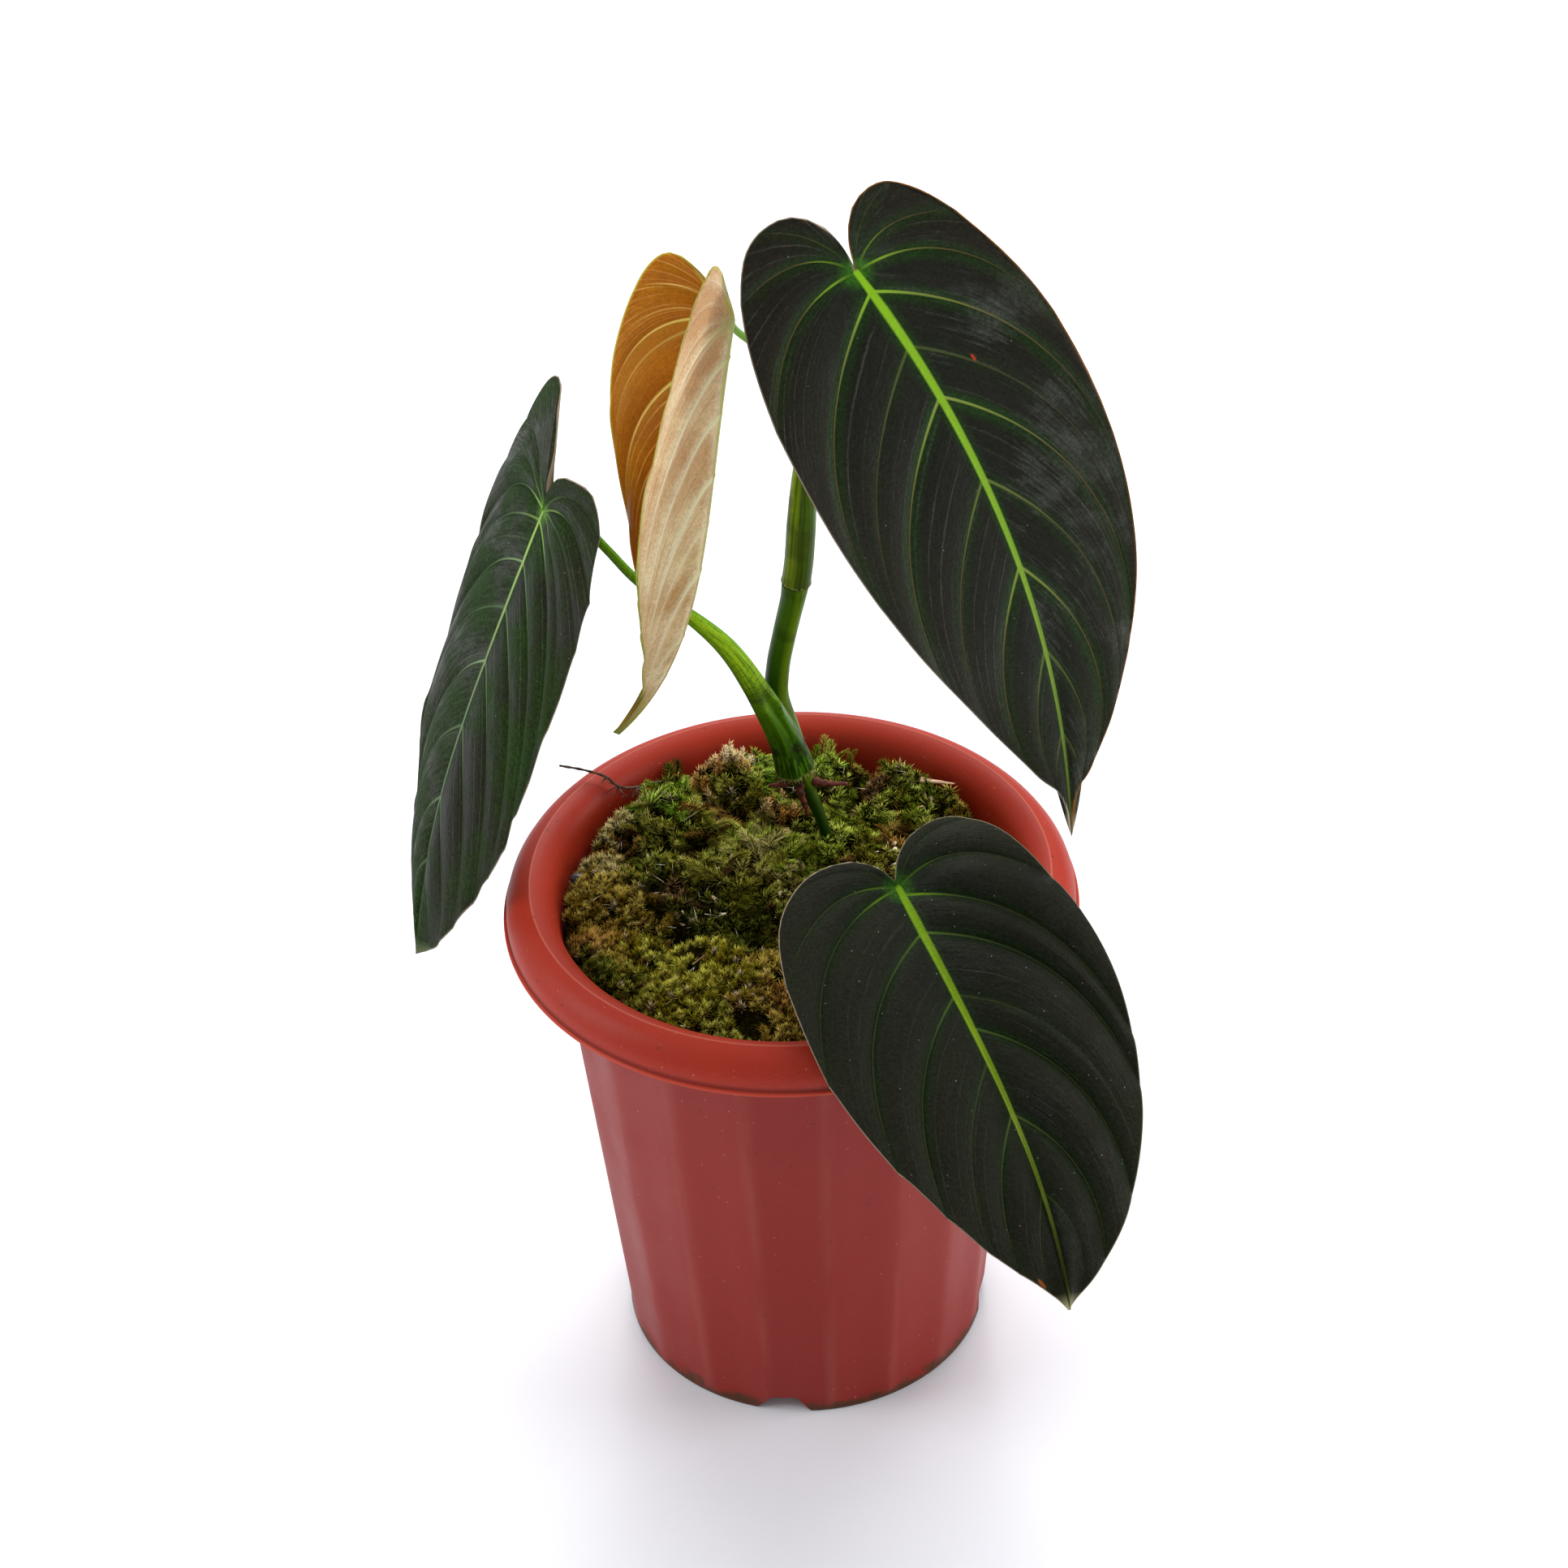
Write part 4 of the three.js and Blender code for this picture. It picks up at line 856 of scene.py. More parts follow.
LOOKS = {
    "top": {**DARK_LEAF, "spot": (2.521, 0.182, (0.0035, 0.007, 1.0), "#d8401c")},
    "left": {
        **DARK_LEAF, "deep": "#1c1b14", "mid": "#203a10", "brown": "#251f14", "green": "#142c0c",
        "hub": "#4d7a2c", "halo": 0.5, "halo_width": 3.0, "fine": 0.34, "fine_color": "#55694a",
        "vein": "#7c9a66", "vein_outer": "#526c40", "vein_width": 0.2, "vein_end": 0.3, "rib": "#a4c660",
        "rib_middle": "#6f8a62", "rib_tip": "#5c6e52", "edge": "#b5a08c", "edge_left": "#b5a08c",
        "tip": "#6f7a54", "gloss": 0.08, "gloss_tint": "#dce6a4", "sheen": 0.0, "roughness": 0.5,
        "dust": 0.88, "grain": 0.7, "flattened": 0.25, "painted_sheen_share_left": 0.0, "painted_sheen_color": "#4c5638",
    },
    "front": {
        **DARK_LEAF, "deep": "#0a0d06", "mid": "#181c0f", "brown": "#1e1a0e", "green": "#10360a",
        "hub": "#2b600c", "halo": 0.55, "halo_width": 3.0, "fine": 0.16, "vein": "#486026",
        "vein_outer": "#565034", "vein_width": 0.2, "vein_end": 0.7, "rib": "#76a00c",
        "rib_middle": "#86a41e", "rib_tip": "#848448", "edge": "#c2b096", "edge_left": "#8f8a6a",
        "edge_width": 0.35, "tip": "#9a9468", "tip_start": 0.965, "gloss": 0.2, "roughness": 0.46,
        "bump": 0.9, "dust": 0.8, "flattened": 0.0, "painted_sheen_share_left": 0.1,
        "spot": (0.824, 0.955, (0.014, 0.03, 1.0), "#8a4a14"),
    },
    "young": {
        **DARK_LEAF, "deep": "#8c5806", "mid": "#a86e0e", "brown": "#b4801e", "green": "#9c7814",
        "hub": "#b0ac32", "halo": 0.5, "halo_width": 2.6, "fine": 0.95, "fine_count": 60.0,
        "fine_color": "#e2b05c", "vein": "#d8e060", "vein_outer": "#ecd074", "vein_width": 0.45,
        "vein_end": 0.9, "rib": "#d9dc7a", "rib_middle": "#dcd27a", "rib_tip": "#c9b870",
        "edge": "#b9bf4e", "edge_left": "#c0c45c", "edge_width": 0.8, "tip": "#a8a83c", "tip_start": 0.84,
        "gloss": 0.14, "gloss_tint": "#ffe8b8", "sheen": 0.0, "glow": 0.15, "bump": 0.5, "dust": 1.0,
        "grain": 0.2, "flattened": 0.0, "painted_sheen_share_left": 0.0,
    },
}
UNDER_DARK = {
    **DARK_LEAF, "deep": "#4c5a38", "mid": "#5e6b44", "brown": "#675a40", "green": "#5f7a3e",
    "hub": "#7f9a4a", "halo": 0.5, "fine": 0.4, "fine_color": "#7c885a", "vein": "#a9b774",
    "vein_outer": "#95905f", "vein_width": 0.6, "vein_end": 0.9, "rib": "#a7bf68",
    "rib_middle": "#a5b168", "rib_tip": "#9a9a64", "edge": "#8a8a5c", "edge_left": "#8a8a5c",
    "gloss": 0.2, "roughness": 0.45, "dust": 1.0, "flattened": 0.0, "painted_sheen_share_left": 0.0,
}
UNDER_YOUNG = {
    **DARK_LEAF, "deep": "#c69a60", "mid": "#f0d4a2", "brown": "#c0945a", "green": "#fbeec8",
    "hub": "#d0d284", "halo": 0.85, "halo_width": 3.6, "fine": 0.85, "fine_color": "#a3744a",
    "vein": "#f6eebc", "vein_outer": "#f8e8c4", "vein_width": 0.7, "vein_end": 0.95, "rib": "#c9cd74",
    "rib_middle": "#cfc684", "rib_tip": "#b9ad6c", "edge": "#b8c04a", "edge_left": "#b8c04a",
    "edge_width": 1.3, "tip": "#a8a850", "tip_start": 0.84, "gloss": 0.16, "gloss_tint": "#fff0e4",
    "sheen": 0.0, "glow": 0.15, "roughness": 0.45, "bump": 0.6, "dust": 1.0, "grain": 0.22,
    "flattened": 0.0, "painted_sheen_share_left": 0.0,
}


class PLANT_OT_blades(bpy.types.Operator):
    """Builds the four leaf blades with their quilting, veins and midribs"""
    bl_idname = "plant.blades"
    bl_label = "Leaf blades"

    def execute(self, context):
        under_dark = leaf_material("leaf_underside", UNDER_DARK)
        for name, blade in BLADES.items():
            upper = leaf_material("velvet_leaf_" + name, LOOKS[name])
            under = leaf_material("young_leaf_underside", UNDER_YOUNG) if name == "young" else under_dark
            finish_piece(blade_mesh(blade), "leaf_" + name, ["blade_" + name], [upper, under])
        return {"FINISHED"}


# Stems

def between(u, start, stop, before, after):
    """The value at u on the straight line from one value, at start, to another, at stop."""
    return (stop - u) / (stop - start) * before + (u - start) / (stop - start) * after


def smooth_line(points, steps):
    """A centripetal Catmull-Rom line through points of x, y, z and radius, with steps between each two."""
    points = np.array(points, float)
    first = 2 * points[0] - points[1]
    last = 2 * points[-1] - points[-2]
    points = np.vstack([first, points, last])
    line = []
    for k in range(1, len(points) - 2):
        p = points[k - 1:k + 3]
        t = np.concatenate([[0], np.cumsum(np.sqrt(np.linalg.norm(np.diff(p[:, :3], axis=0), axis=1)))])
        for share in np.arange(steps) / steps:
            u = t[1] + share * (t[2] - t[1])
            a = [between(u, t[i], t[i + 1], p[i], p[i + 1]) for i in range(3)]
            b = [between(u, t[i], t[i + 2], a[i], a[i + 1]) for i in range(2)]
            place = between(u, t[1], t[2], b[0], b[1])
            place[3] = p[1][3] + share * (p[2][3] - p[1][3])
            line.append(place)
    line.append(points[-2])
    return np.array(line)


def add_tube(bm, points, sides, steps, skin, swell=None):
    """Adds a stem along a line, closed at both ends. skin keeps each corner's place round and along it in
    millimetres, and swell changes its radius by the angle and by the length along it."""
    line = smooth_line(points, steps)
    rings = len(line) - 1
    places = [Vector(p[:3]) for p in line]
    lengths = np.concatenate([[0], np.cumsum([(b - a).length for a, b in zip(places, places[1:])])])
    tangents = [(places[min(i + 1, rings)] - places[max(i - 1, 0)]).normalized() for i in range(rings + 1)]
    side = tangents[0].cross(Vector((0, -1, 0))).normalized()
    sideways = []
    for tangent in tangents:
        side = (side - tangent * side.dot(tangent)).normalized()
        sideways.append(side.copy())
    made = bmesh.ops.create_grid(bm, x_segments=sides, y_segments=rings + 2, size=1)["verts"]
    for corner in made:
        around = (corner.co.x + 1) / 2
        ring = round((corner.co.y + 1) / 2 * (rings + 2)) - 1
        closed = ring < 0 or ring > rings
        ring = min(max(ring, 0), rings)
        angle = 2 * math.pi * (around % 1)
        radius = 0 if closed else line[ring][3]
        if swell and not closed:
            radius += swell(angle, lengths[ring], radius)
        across = sideways[ring] * math.cos(angle) + tangents[ring].cross(sideways[ring]) * math.sin(angle)
        corner.co = places[ring] + across * radius
        corner[skin] = (math.cos(angle) * line[ring][3], math.sin(angle) * line[ring][3], lengths[ring])
    bmesh.ops.remove_doubles(bm, verts=made, dist=0.002)


def stem_material(name, look):
    """Living stem: a smooth, slightly waxy green skin over long fibres, which show as lighter and darker
    lines along it, with fine cross lines between them, corky specks and a pale torn ring at the foot of a
    sheath."""
    m = new_material(name, ior=1.45, specular_ior_level=0.13, specular_tint=linear("#f0f4c8"))
    skin = add(m, "Attribute", out=1, attribute_name="skin")
    xyz = add(m, "SeparateXYZ", {0: skin})
    length = xyz.node.outputs[2]
    angle = add(m, "Math", {0: xyz.node.outputs[1], 1: xyz}, operation="ARCTAN2")
    at = add(m, "TexCoord", out=3)
    lines_at = add(m, "Mapping", {0: skin, 3: (1.0, 1.0, 0.015)})
    lines = add(m, "TexNoise", {0: lines_at, "Scale": look["line_scale"], "Detail": 2.0, "Roughness": 0.5})
    streak = add(m, "MapRange", {0: lines, 1: 0.47, 2: 0.57}, interpolation_type="SMOOTHSTEP")
    cloud = add(m, "TexNoise", {0: at, "Scale": 90.0, "Detail": 4.0})
    along = add(m, "MapRange", {0: length, 1: look["start"], 2: look["end"]})
    base = add(m, "Mix", {0: along, 6: linear(look["low"]), 7: linear(look["high"])}, out=2, data_type="RGBA")
    # painted light: the side towards the lamps is drawn lighter
    above = add(m, "VectorMath", {0: skin, 1: look["above"]}, out=1, operation="DOT_PRODUCT")
    above = add(m, "MapRange", {0: above, 1: 0.8, 2: 2.8, 3: 0.0, 4: 0.6}, interpolation_type="SMOOTHSTEP")
    upwards = add(m, "MapRange", {0: length, 1: look["lit_from"], 2: look["lit_from"] + 14})
    above = add(m, "Math", {0: above, 1: upwards}, operation="MULTIPLY")
    base = add(m, "Mix", {0: above, 6: base, 7: linear(look["lit"])}, out=2, data_type="RGBA")
    streak_share = add(m, "Math", {0: streak, 1: look["streak"]}, operation="MULTIPLY")
    base = add(m, "Mix", {0: streak_share, 6: base, 7: linear(look["line"])}, out=2, data_type="RGBA")
    # cross lines, about 2.5 mm apart and broken from stripe to stripe
    stripe = add(m, "Math", {0: angle, 1: 3.2}, operation="MULTIPLY")
    stripe = add(m, "Math", {0: stripe}, operation="FLOOR")
    shift = add(m, "TexWhiteNoise", {1: stripe}, noise_dimensions="1D")
    across = add(m, "Math", {0: length, 1: 0.4, 2: shift}, operation="MULTIPLY_ADD")
    across = add(m, "Math", {0: across}, operation="FRACT")
    across = add(m, "MapRange", {0: across, 1: 0.16, 2: 0.04, 3: 0.0, 4: look["cross"]})
    broken = add(m, "MapRange", {0: cloud, 1: 0.35, 2: 0.6})
    across = add(m, "Math", {0: across, 1: broken}, operation="MULTIPLY")
    base = add(m, "Mix", {0: across, 6: base, 7: linear(look["dark"])}, out=2, data_type="RGBA")
    # dark blotches that end some way up
    blotch = add(m, "MapRange", {0: cloud, 1: 0.52, 2: 0.63, 3: 0.0, 4: look["blotch"]})
    window = add(m, "MapRange", {0: length, 1: look["blotch_end"], 2: look["blotch_end"] - 12})
    blotch = add(m, "Math", {0: blotch, 1: window}, operation="MULTIPLY")
    base = add(m, "Mix", {0: blotch, 6: base, 7: linear(look["dark"])}, out=2, data_type="RGBA")
    # corky specks, about 0.5 mm wide
    specks = add(m, "TexVoronoi", {0: at, "Scale": 500.0})
    speck = add(m, "MapRange", {0: specks, 1: 0.16, 2: 0.08, 3: 0.0, 4: 0.5})
    rare = add(m, "SeparateColor", {0: specks.node.outputs[1]})
    rare = add(m, "Math", {0: rare, 1: 0.93}, operation="GREATER_THAN")
    speck = add(m, "Math", {0: speck, 1: rare}, operation="MULTIPLY")
    base = add(m, "Mix", {0: speck, 6: base, 7: linear("#5a4a26")}, out=2, data_type="RGBA")
    # the torn ring at the foot of a sheath, pale and ticked with brown
    ring = add(m, "Math", {0: lines, 1: 2.0, 2: length}, operation="MULTIPLY_ADD")
    ring = add(m, "MapRange", {0: ring, 1: look["ring"] + 1.4, 2: look["ring"] + 0.6})
    tick = add(m, "MapRange", {0: lines, 1: 0.5, 2: 0.56})
    ring_color = add(m, "Mix", {0: tick, 6: linear("#8f9450"), 7: linear("#4a3a1c")}, out=2, data_type="RGBA")
    base = add(m, "Mix", {0: ring, 6: base, 7: ring_color}, out=2, data_type="RGBA")
    rough = add(m, "MapRange", {0: cloud, 1: 0.3, 2: 0.7, 3: 0.32, 4: 0.45})
    bump = add(m, "Bump", {"Height": lines, "Strength": 0.3, "Distance": 0.0003})
    connect(m, base_color=base, roughness=rough, normal=bump)
    return m


def root_material(name, dark, light):
    """Aerial root: a dull brown corky skin with fine cracks along and across it."""
    m = new_material(name, ior=1.45, specular_ior_level=0.3)
    at = add(m, "TexCoord", out=3)
    fine = add(m, "TexNoise", {0: at, "Scale": 600.0, "Detail": 5.0})
    base = add(m, "ValToRGB", {0: fine}, stops=((0.35, dark), (0.68, light)))
    bump = add(m, "Bump", {"Height": fine, "Strength": 0.5, "Distance": 0.0003})
    rough = add(m, "MapRange", {0: fine, 3: 0.55, 4: 0.85})
    connect(m, base_color=base, roughness=rough, normal=bump)
    return m


# Starts, ends, lit_from and ring are millimetres along the stem, and above points to the side that is drawn
# lighter as painted light
STEM_LOOK = {
    "low": "#14300a", "high": "#40640a", "line": "#2a4c0a", "dark": "#141d08", "streak": 0.4,
    "blotch": 0.35, "blotch_end": 200.0, "line_scale": 1.0, "start": 40.0, "end": 125.0, "cross": 0.0,
    "ring": -9.0, "above": (0.9, -0.3, 0.0), "lit": "#6c8614", "lit_from": 46.0,
}
PETIOLE_LOOKS = {
    "top": {
        **STEM_LOOK, "low": "#3e5206", "high": "#547808", "line": "#26340a", "dark": "#2c3808",
        "streak": 0.6, "blotch": 0.5, "blotch_end": 60.0, "start": 0.0, "end": 45.0, "cross": 0.1,
        "ring": 0.3, "above": (-1.0, -0.1, 0.0), "lit": "#8aa60e", "lit_from": -20.0,
    },
    "left": {
        **STEM_LOOK, "low": "#1e3c08", "high": "#5c920a", "line": "#4e7c0c", "dark": "#1c1e12",
        "streak": 0.75, "blotch": 1.0, "blotch_end": 40.0, "line_scale": 1.5, "start": 6.0, "end": 50.0,
        "cross": 0.75, "ring": 0.9, "above": (0.5, -0.87, 0.0), "lit": "#b0d424", "lit_from": 26.0,
    },
    "young": {
        **STEM_LOOK, "low": "#5c980e", "high": "#7cb31c", "line": "#8cbb36", "dark": "#4c7a18",
        "blotch": 0.2, "start": 0.0, "end": 60.0, "above": (0.0, 0.0, 0.0),
    },
    "front": {
        **STEM_LOOK, "low": "#3e6a12", "high": "#4f7c18", "line": "#6c9028", "dark": "#33501a",
        "blotch": 0.2, "start": 0.0, "end": 60.0, "above": (0.0, 0.0, 0.0),
    },
}


def root_wrinkles(angle, length, radius):
    """Shallow wrinkles that wind round a fresh root."""
    return 0.18 * radius * math.sin(length * 2.3 + angle)


class PLANT_OT_stem(bpy.types.Operator):
    """Builds the stem and its short aerial roots"""
    bl_idname = "plant.stem"
    bl_label = "Stem"

    def execute(self, context):
        bm = bmesh.new()
        skin = bm.verts.layers.float_vector.new("skin")
        add_tube(bm, STEM_LINE, 40, 8, skin)
        stem_faces = len(bm.faces)
        for line in AERIAL_ROOTS:
            add_tube(bm, line, 14, 8, skin, root_wrinkles)
        bm.faces.ensure_lookup_table()
        for face in bm.faces[stem_faces:]:
            face.material_index = 1
        bmesh.ops.recalc_face_normals(bm, faces=bm.faces)
        stem_finish = stem_material("green_stem_skin", STEM_LOOK)
        cork = root_material("aerial_root_cork", "#3d1c12", "#7a3b26")
        finish_piece(bm, "stem_and_roots", ["stem"], [stem_finish, cork])
        return {"FINISHED"}


WING_TURN = math.radians(300)  # the angle round the left petiole at which its sheath is open
WING_WIDTH = math.radians(26)
SHEATH_LENGTH = 32
GROOVE_LENGTH = 60


def left_sheath(angle, length, radius):
    """The left sheath is open above: two low wings that end in a small ear."""
    up = (angle - WING_TURN) / WING_WIDTH
    past = max(length - SHEATH_LENGTH, 0)
    wings = math.exp(-((up - 1) ** 2) * 3) + math.exp(-((up + 1) ** 2) * 3)
    ear = math.exp(-(((length - SHEATH_LENGTH + 1) / 5) ** 2)) * math.exp(-past / 0.8)
    low = 0.45 * math.exp(-past / 3)
    groove = 0.35 * math.exp(-(up ** 2) * 4) if length < GROOVE_LENGTH else 0
    return wings * (low + 1.9 * ear) - groove


def top_sheath(angle, length, radius):
    """The top sheath wraps the stem: a shallow seam runs up it."""
    return -0.3 * math.exp(-((angle - 4.2) / 0.12) ** 2) + 0.25 * math.exp(-(length / 0.8) ** 2)


SHEATH_SHAPES = {"left": left_sheath, "top": top_sheath}
# how far the teeth of a torn foot point down, their number and their length
FRINGES = {"left": (0.8, 34, 1.7), "top": (0.9, 20, 0.7)}


def add_fringe(bm, line, fringe, draw):
    """Adds the torn fibres round the foot of a sheath, as thin teeth."""
    down, count, reach = fringe
    start = Vector(line[0][:3])
    axis = (Vector(line[1][:3]) - start).normalized()
    side = axis.cross(Vector((0, -1, 0))).normalized()
    for k in range(count):
        angle = 2 * math.pi * (k + draw.random() * 0.6) / count
        out = side * math.cos(angle) + axis.cross(side) * math.sin(angle)
        towards = (out * draw.uniform(0.1, 0.6) - axis * down).normalized()
        depth = reach * draw.uniform(0.5, 1.3)
        tooth = bmesh.ops.create_cone(bm, cap_ends=True, segments=4, radius1=0.32, radius2=0.05, depth=depth)
        turn = towards.to_track_quat("Z", "Y").to_matrix().to_4x4()
        place = Matrix.Translation(start + out * (line[0][3] - 0.1)) @ turn
        bmesh.ops.transform(bm, matrix=place, verts=tooth["verts"])


class PLANT_OT_petioles(bpy.types.Operator):
    """Builds the four petioles"""
    bl_idname = "plant.petioles"
    bl_label = "Petioles"

    def execute(self, context):
        draw = random.Random(3)
        for name, line in PETIOLE_LINES.items():
            bm = bmesh.new()
            skin = bm.verts.layers.float_vector.new("skin")
            add_tube(bm, line, 48, 8, skin, SHEATH_SHAPES.get(name))
            if name in FRINGES:
                add_fringe(bm, line, FRINGES[name], draw)
            bmesh.ops.recalc_face_normals(bm, faces=bm.faces)
            finish = stem_material("green_petiole_" + name, PETIOLE_LOOKS[name])
            finish_piece(bm, "leafstalk_" + name, ["petiole_" + name], [finish])
        return {"FINISHED"}


# Moss, mix and what lies on it

WHOLE_TURN = 6.283  # in radians
ANY_TWIST = 6.0  # the most that a leaf is turned about its own length, in radians


def add_needle(bm, tip, base, towards, length, width, flat=0.5, twist=0.0, foot=0.0):
    """Adds a closed three-sided moss leaf that tapers to a point. tip keeps how far up its shoot it is."""
    cone = bmesh.ops.create_cone(bm, cap_ends=True, segments=3, radius1=width / 2, radius2=0, depth=length)
    made = cone["verts"]
    turn = towards.to_track_quat("Z", "Y").to_matrix().to_4x4()
    for corner in made:
        corner[tip] = 1.0 if corner.co.z > 0 else foot
    lean = Matrix.Translation(base) @ turn @ Matrix.Rotation(twist, 4, "Z") @ Matrix.Diagonal((1, flat, 1, 1))
    bmesh.ops.transform(bm, matrix=lean @ Matrix.Translation((0, 0, length / 2)), verts=made)


def any_turn(draw):
    """A turn by any angle about the upright axis."""
    return Matrix.Rotation(draw.random() * WHOLE_TURN, 4, "Z")


def pointing(angle, tilt):
    """The direction at this angle round the upright axis and this tilt above level."""
    return Vector((math.cos(angle) * math.cos(tilt), math.sin(angle) * math.cos(tilt), math.sin(tilt)))


def tuft(draw, grow):
    """A shoot of moss, made by one of the functions below, as a mesh to copy."""
    bm = bmesh.new()
    tip = bm.verts.layers.float.new("tip")
    bm.verts.layers.float.new("tone")
    grow(bm, tip, draw)
    mesh = bpy.data.meshes.new("tuft")
    bm.to_mesh(mesh)
    bm.free()
    return mesh


def add_tiers(bm, tip, draw, tiers, stalk, loose, uneven, width, flat, foot):
    """Adds tiers of leaves up a stalk. A tier is its number of leaves, their tilt and their length, and the
    stalk is the height of its lowest tier and the step to the next."""
    for tier, (count, steep, length) in enumerate(tiers):
        for k in range(count):
            angle = 2 * math.pi * (k + draw.random() * loose) / count + tier
            towards = pointing(angle, steep + draw.uniform(-0.2, 0.2))
            base = Vector((0, 0, stalk[0] + stalk[1] * tier))
            long = length * draw.uniform(1 - uneven, 1 + uneven)
            add_needle(bm, tip, base, towards, long, width, flat, draw.random() * ANY_TWIST, foot * tier)


def brush_tuft(bm, tip, draw):
    """A dense brush of fine leaves that fan out from a short upright stalk, about 4 mm across."""
    tiers = ((8, 0.35, 2.1), (8, 0.75, 2.3), (6, 1.1, 2.2), (3, 1.4, 1.9))
    add_tiers(bm, tip, draw, tiers, (0.2, 0.45), loose=0.7, uneven=0.25, width=0.45, flat=0.5, foot=0.13)


def star_tuft(bm, tip, draw):
    """A star of broader pointed leaves in three tiers, about 6 mm across."""
    tiers = ((6, 0.2, 3.3), (5, 0.65, 3.1), (4, 1.15, 2.2))
    add_tiers(bm, tip, draw, tiers, (0.4, 0.9), loose=0.5, uneven=0.2, width=0.75, flat=0.35, foot=0.18)


def fern_tuft(bm, tip, draw):
    """A feathery shoot, about 12 mm long: a bent stalk with leaves all round that shorten to its tip."""
    size = draw.uniform(9, 12)
    rise = draw.uniform(0.35, 0.7)
    rings = 14
    for k in range(rings):
        share = k / (rings - 1)
        middle = Vector((size * share * 0.8, 0, size * (rise * share - 0.25 * share ** 2)))
        reach = 3.3 * (1 - share) ** 0.5 + 0.9
        ahead = Vector((1, 0, rise - 0.5 * share))
        for n, around in enumerate((0.35, 2.8, 1.57 if k % 2 else 4.2)):
            around += draw.uniform(-0.3, 0.3)
            outward = Vector((0, math.cos(around), math.sin(around)))
            towards = (ahead * 0.8 + outward * draw.uniform(0.75, 0.95)).normalized()
            length = reach * draw.uniform(0.85, 1.1) * (0.75 if n == 2 else 1)
            add_needle(bm, tip, middle, towards, length, 0.5, 0.5, draw.random() * ANY_TWIST, 0.5 * share)


def upright_tuft(bm, tip, draw):
    """A thick upright shoot like a small bottle brush, about 8 mm tall."""
    for k in range(9):
        height = 0.8 * k
        for side in range(4):
            angle = 2 * math.pi * side / 4 + k + draw.uniform(-0.3, 0.3)
            towards = pointing(angle, draw.uniform(0.45, 0.95) + 0.04 * k)
            twist = draw.random() * ANY_TWIST
            add_needle(bm, tip, Vector((0, 0, height)), towards, 3.0 - 0.14 * k, 0.6, 0.5, twist, 0.08 * k)


def flake(bm, tip, draw):
    """A dry scale or a shed bract that lies on the moss, 2 to 4 mm long."""
    for k in range(draw.choice((1, 2, 3))):
        angle = draw.uniform(-0.5, 0.5)
        towards = Vector((math.cos(angle), math.sin(angle), draw.uniform(0.0, 0.4))).normalized()
        add_needle(bm, tip, Vector((0, 0, 1.7)), towards, draw.uniform(2, 3.6), draw.uniform(0.9, 1.5), 0.3)
    for corner in bm.verts:
        corner[tip] = 1.0


def dry_needle(bm, tip, draw):
    """A fine dead needle or stalk caught in the moss."""
    towards = Vector((1, 0, draw.uniform(-0.1, 0.9))).normalized()
    add_needle(bm, tip, Vector((0, 0, 1.8)), towards, draw.uniform(2.5, 5), 0.34, 0.8)
    for corner in bm.verts:
        corner[tip] = 1.0


def moss_material(name, deep, low, mid, bright):
    """Living moss: thin moist leaves one cell thick. Their tips catch the light, and each shoot is drawn
    darker down to a near-black foot: the brown of old stems and painted shade of the depths. The tone changes
    from shoot to shoot, and slowly over some 15 mm. Dead shoots are brown or bleached."""
    m = new_material(name, ior=1.4, specular_ior_level=0.1, specular_tint=linear("#f4f0b8"))
    at = add(m, "TexCoord", out=3)
    tip = add(m, "Attribute", out=2, attribute_name="tip")
    shoot = add(m, "Attribute", out=2, attribute_name="tone")
    patch = add(m, "TexNoise", {0: at, "Scale": 70.0, "Detail": 3.0})
    spread = add(m, "MapRange", {0: patch, 1: 0.32, 2: 0.68, 3: -0.25, 4: 0.25})
    tone = add(m, "Math", {0: shoot, 1: spread}, operation="ADD")
    color = add(m, "ValToRGB", {0: tone}, stops=((0.1, low), (0.85, bright), (0.45, mid)))
    dead = add(m, "Math", {0: shoot, 1: 1.5}, operation="GREATER_THAN")
    color = add(m, "Mix", {0: dead, 6: color, 7: linear("#6b4526")}, out=2, data_type="RGBA")
    pale = add(m, "Math", {0: shoot, 1: 2.5}, operation="GREATER_THAN")
    color = add(m, "Mix", {0: pale, 6: color, 7: linear("#cdb48c")}, out=2, data_type="RGBA")
    blanched = add(m, "Math", {0: shoot, 1: 3.5}, operation="GREATER_THAN")
    color = add(m, "Mix", {0: blanched, 6: color, 7: linear("#e4dcc4")}, out=2, data_type="RGBA")
    # painted shade: each shoot is drawn darker down to the deep colour at its foot
    depth = add(m, "MapRange", {0: tip, 1: 0.08, 2: 0.9}, interpolation_type="SMOOTHSTEP")
    color = add(m, "Mix", {0: depth, 6: linear(deep), 7: color}, out=2, data_type="RGBA")
    rough = add(m, "MapRange", {0: patch, 3: 0.5, 4: 0.75})
    connect(m, base_color=color, roughness=rough)
    return m


# Moss colours from the foot of a shoot to its brightest tips: deep, low, mid and bright.
# Deep is painted shade at the foot, over the brown of old stems
MOSS_COLOURS = {
    "yellow": ("#121002", "#66560a", "#928818", "#d6d054"),
    "olive": ("#100f03", "#54500c", "#7f7c1a", "#bcb850"),
    "fern": ("#0f0e03", "#565010", "#867e2c", "#d2c678"),
    "green": ("#101403", "#54600c", "#86961e", "#ccd65a"),
    "vivid": ("#121a06", "#56800e", "#86ac20", "#c8e060"),
    "pale": ("#241a08", "#948040", "#c2ae5e", "#eee09a"),
    "ochre": ("#160e03", "#705610", "#a08428", "#d0b856"),
    "rust": ("#180c04", "#6c4414", "#986e2a", "#c49a4c"),
    "brown": ("#0e0904", "#402a14", "#684826", "#94734a"),
    "amber": ("#3a220c", "#a06c28", "#d09c4c", "#f4d698"),
    "cream": ("#5a3c18", "#cc9c54", "#ecc684", "#fff0c4"),
    "dark": ("#0a0903", "#33340a", "#505512", "#80842c"),
}
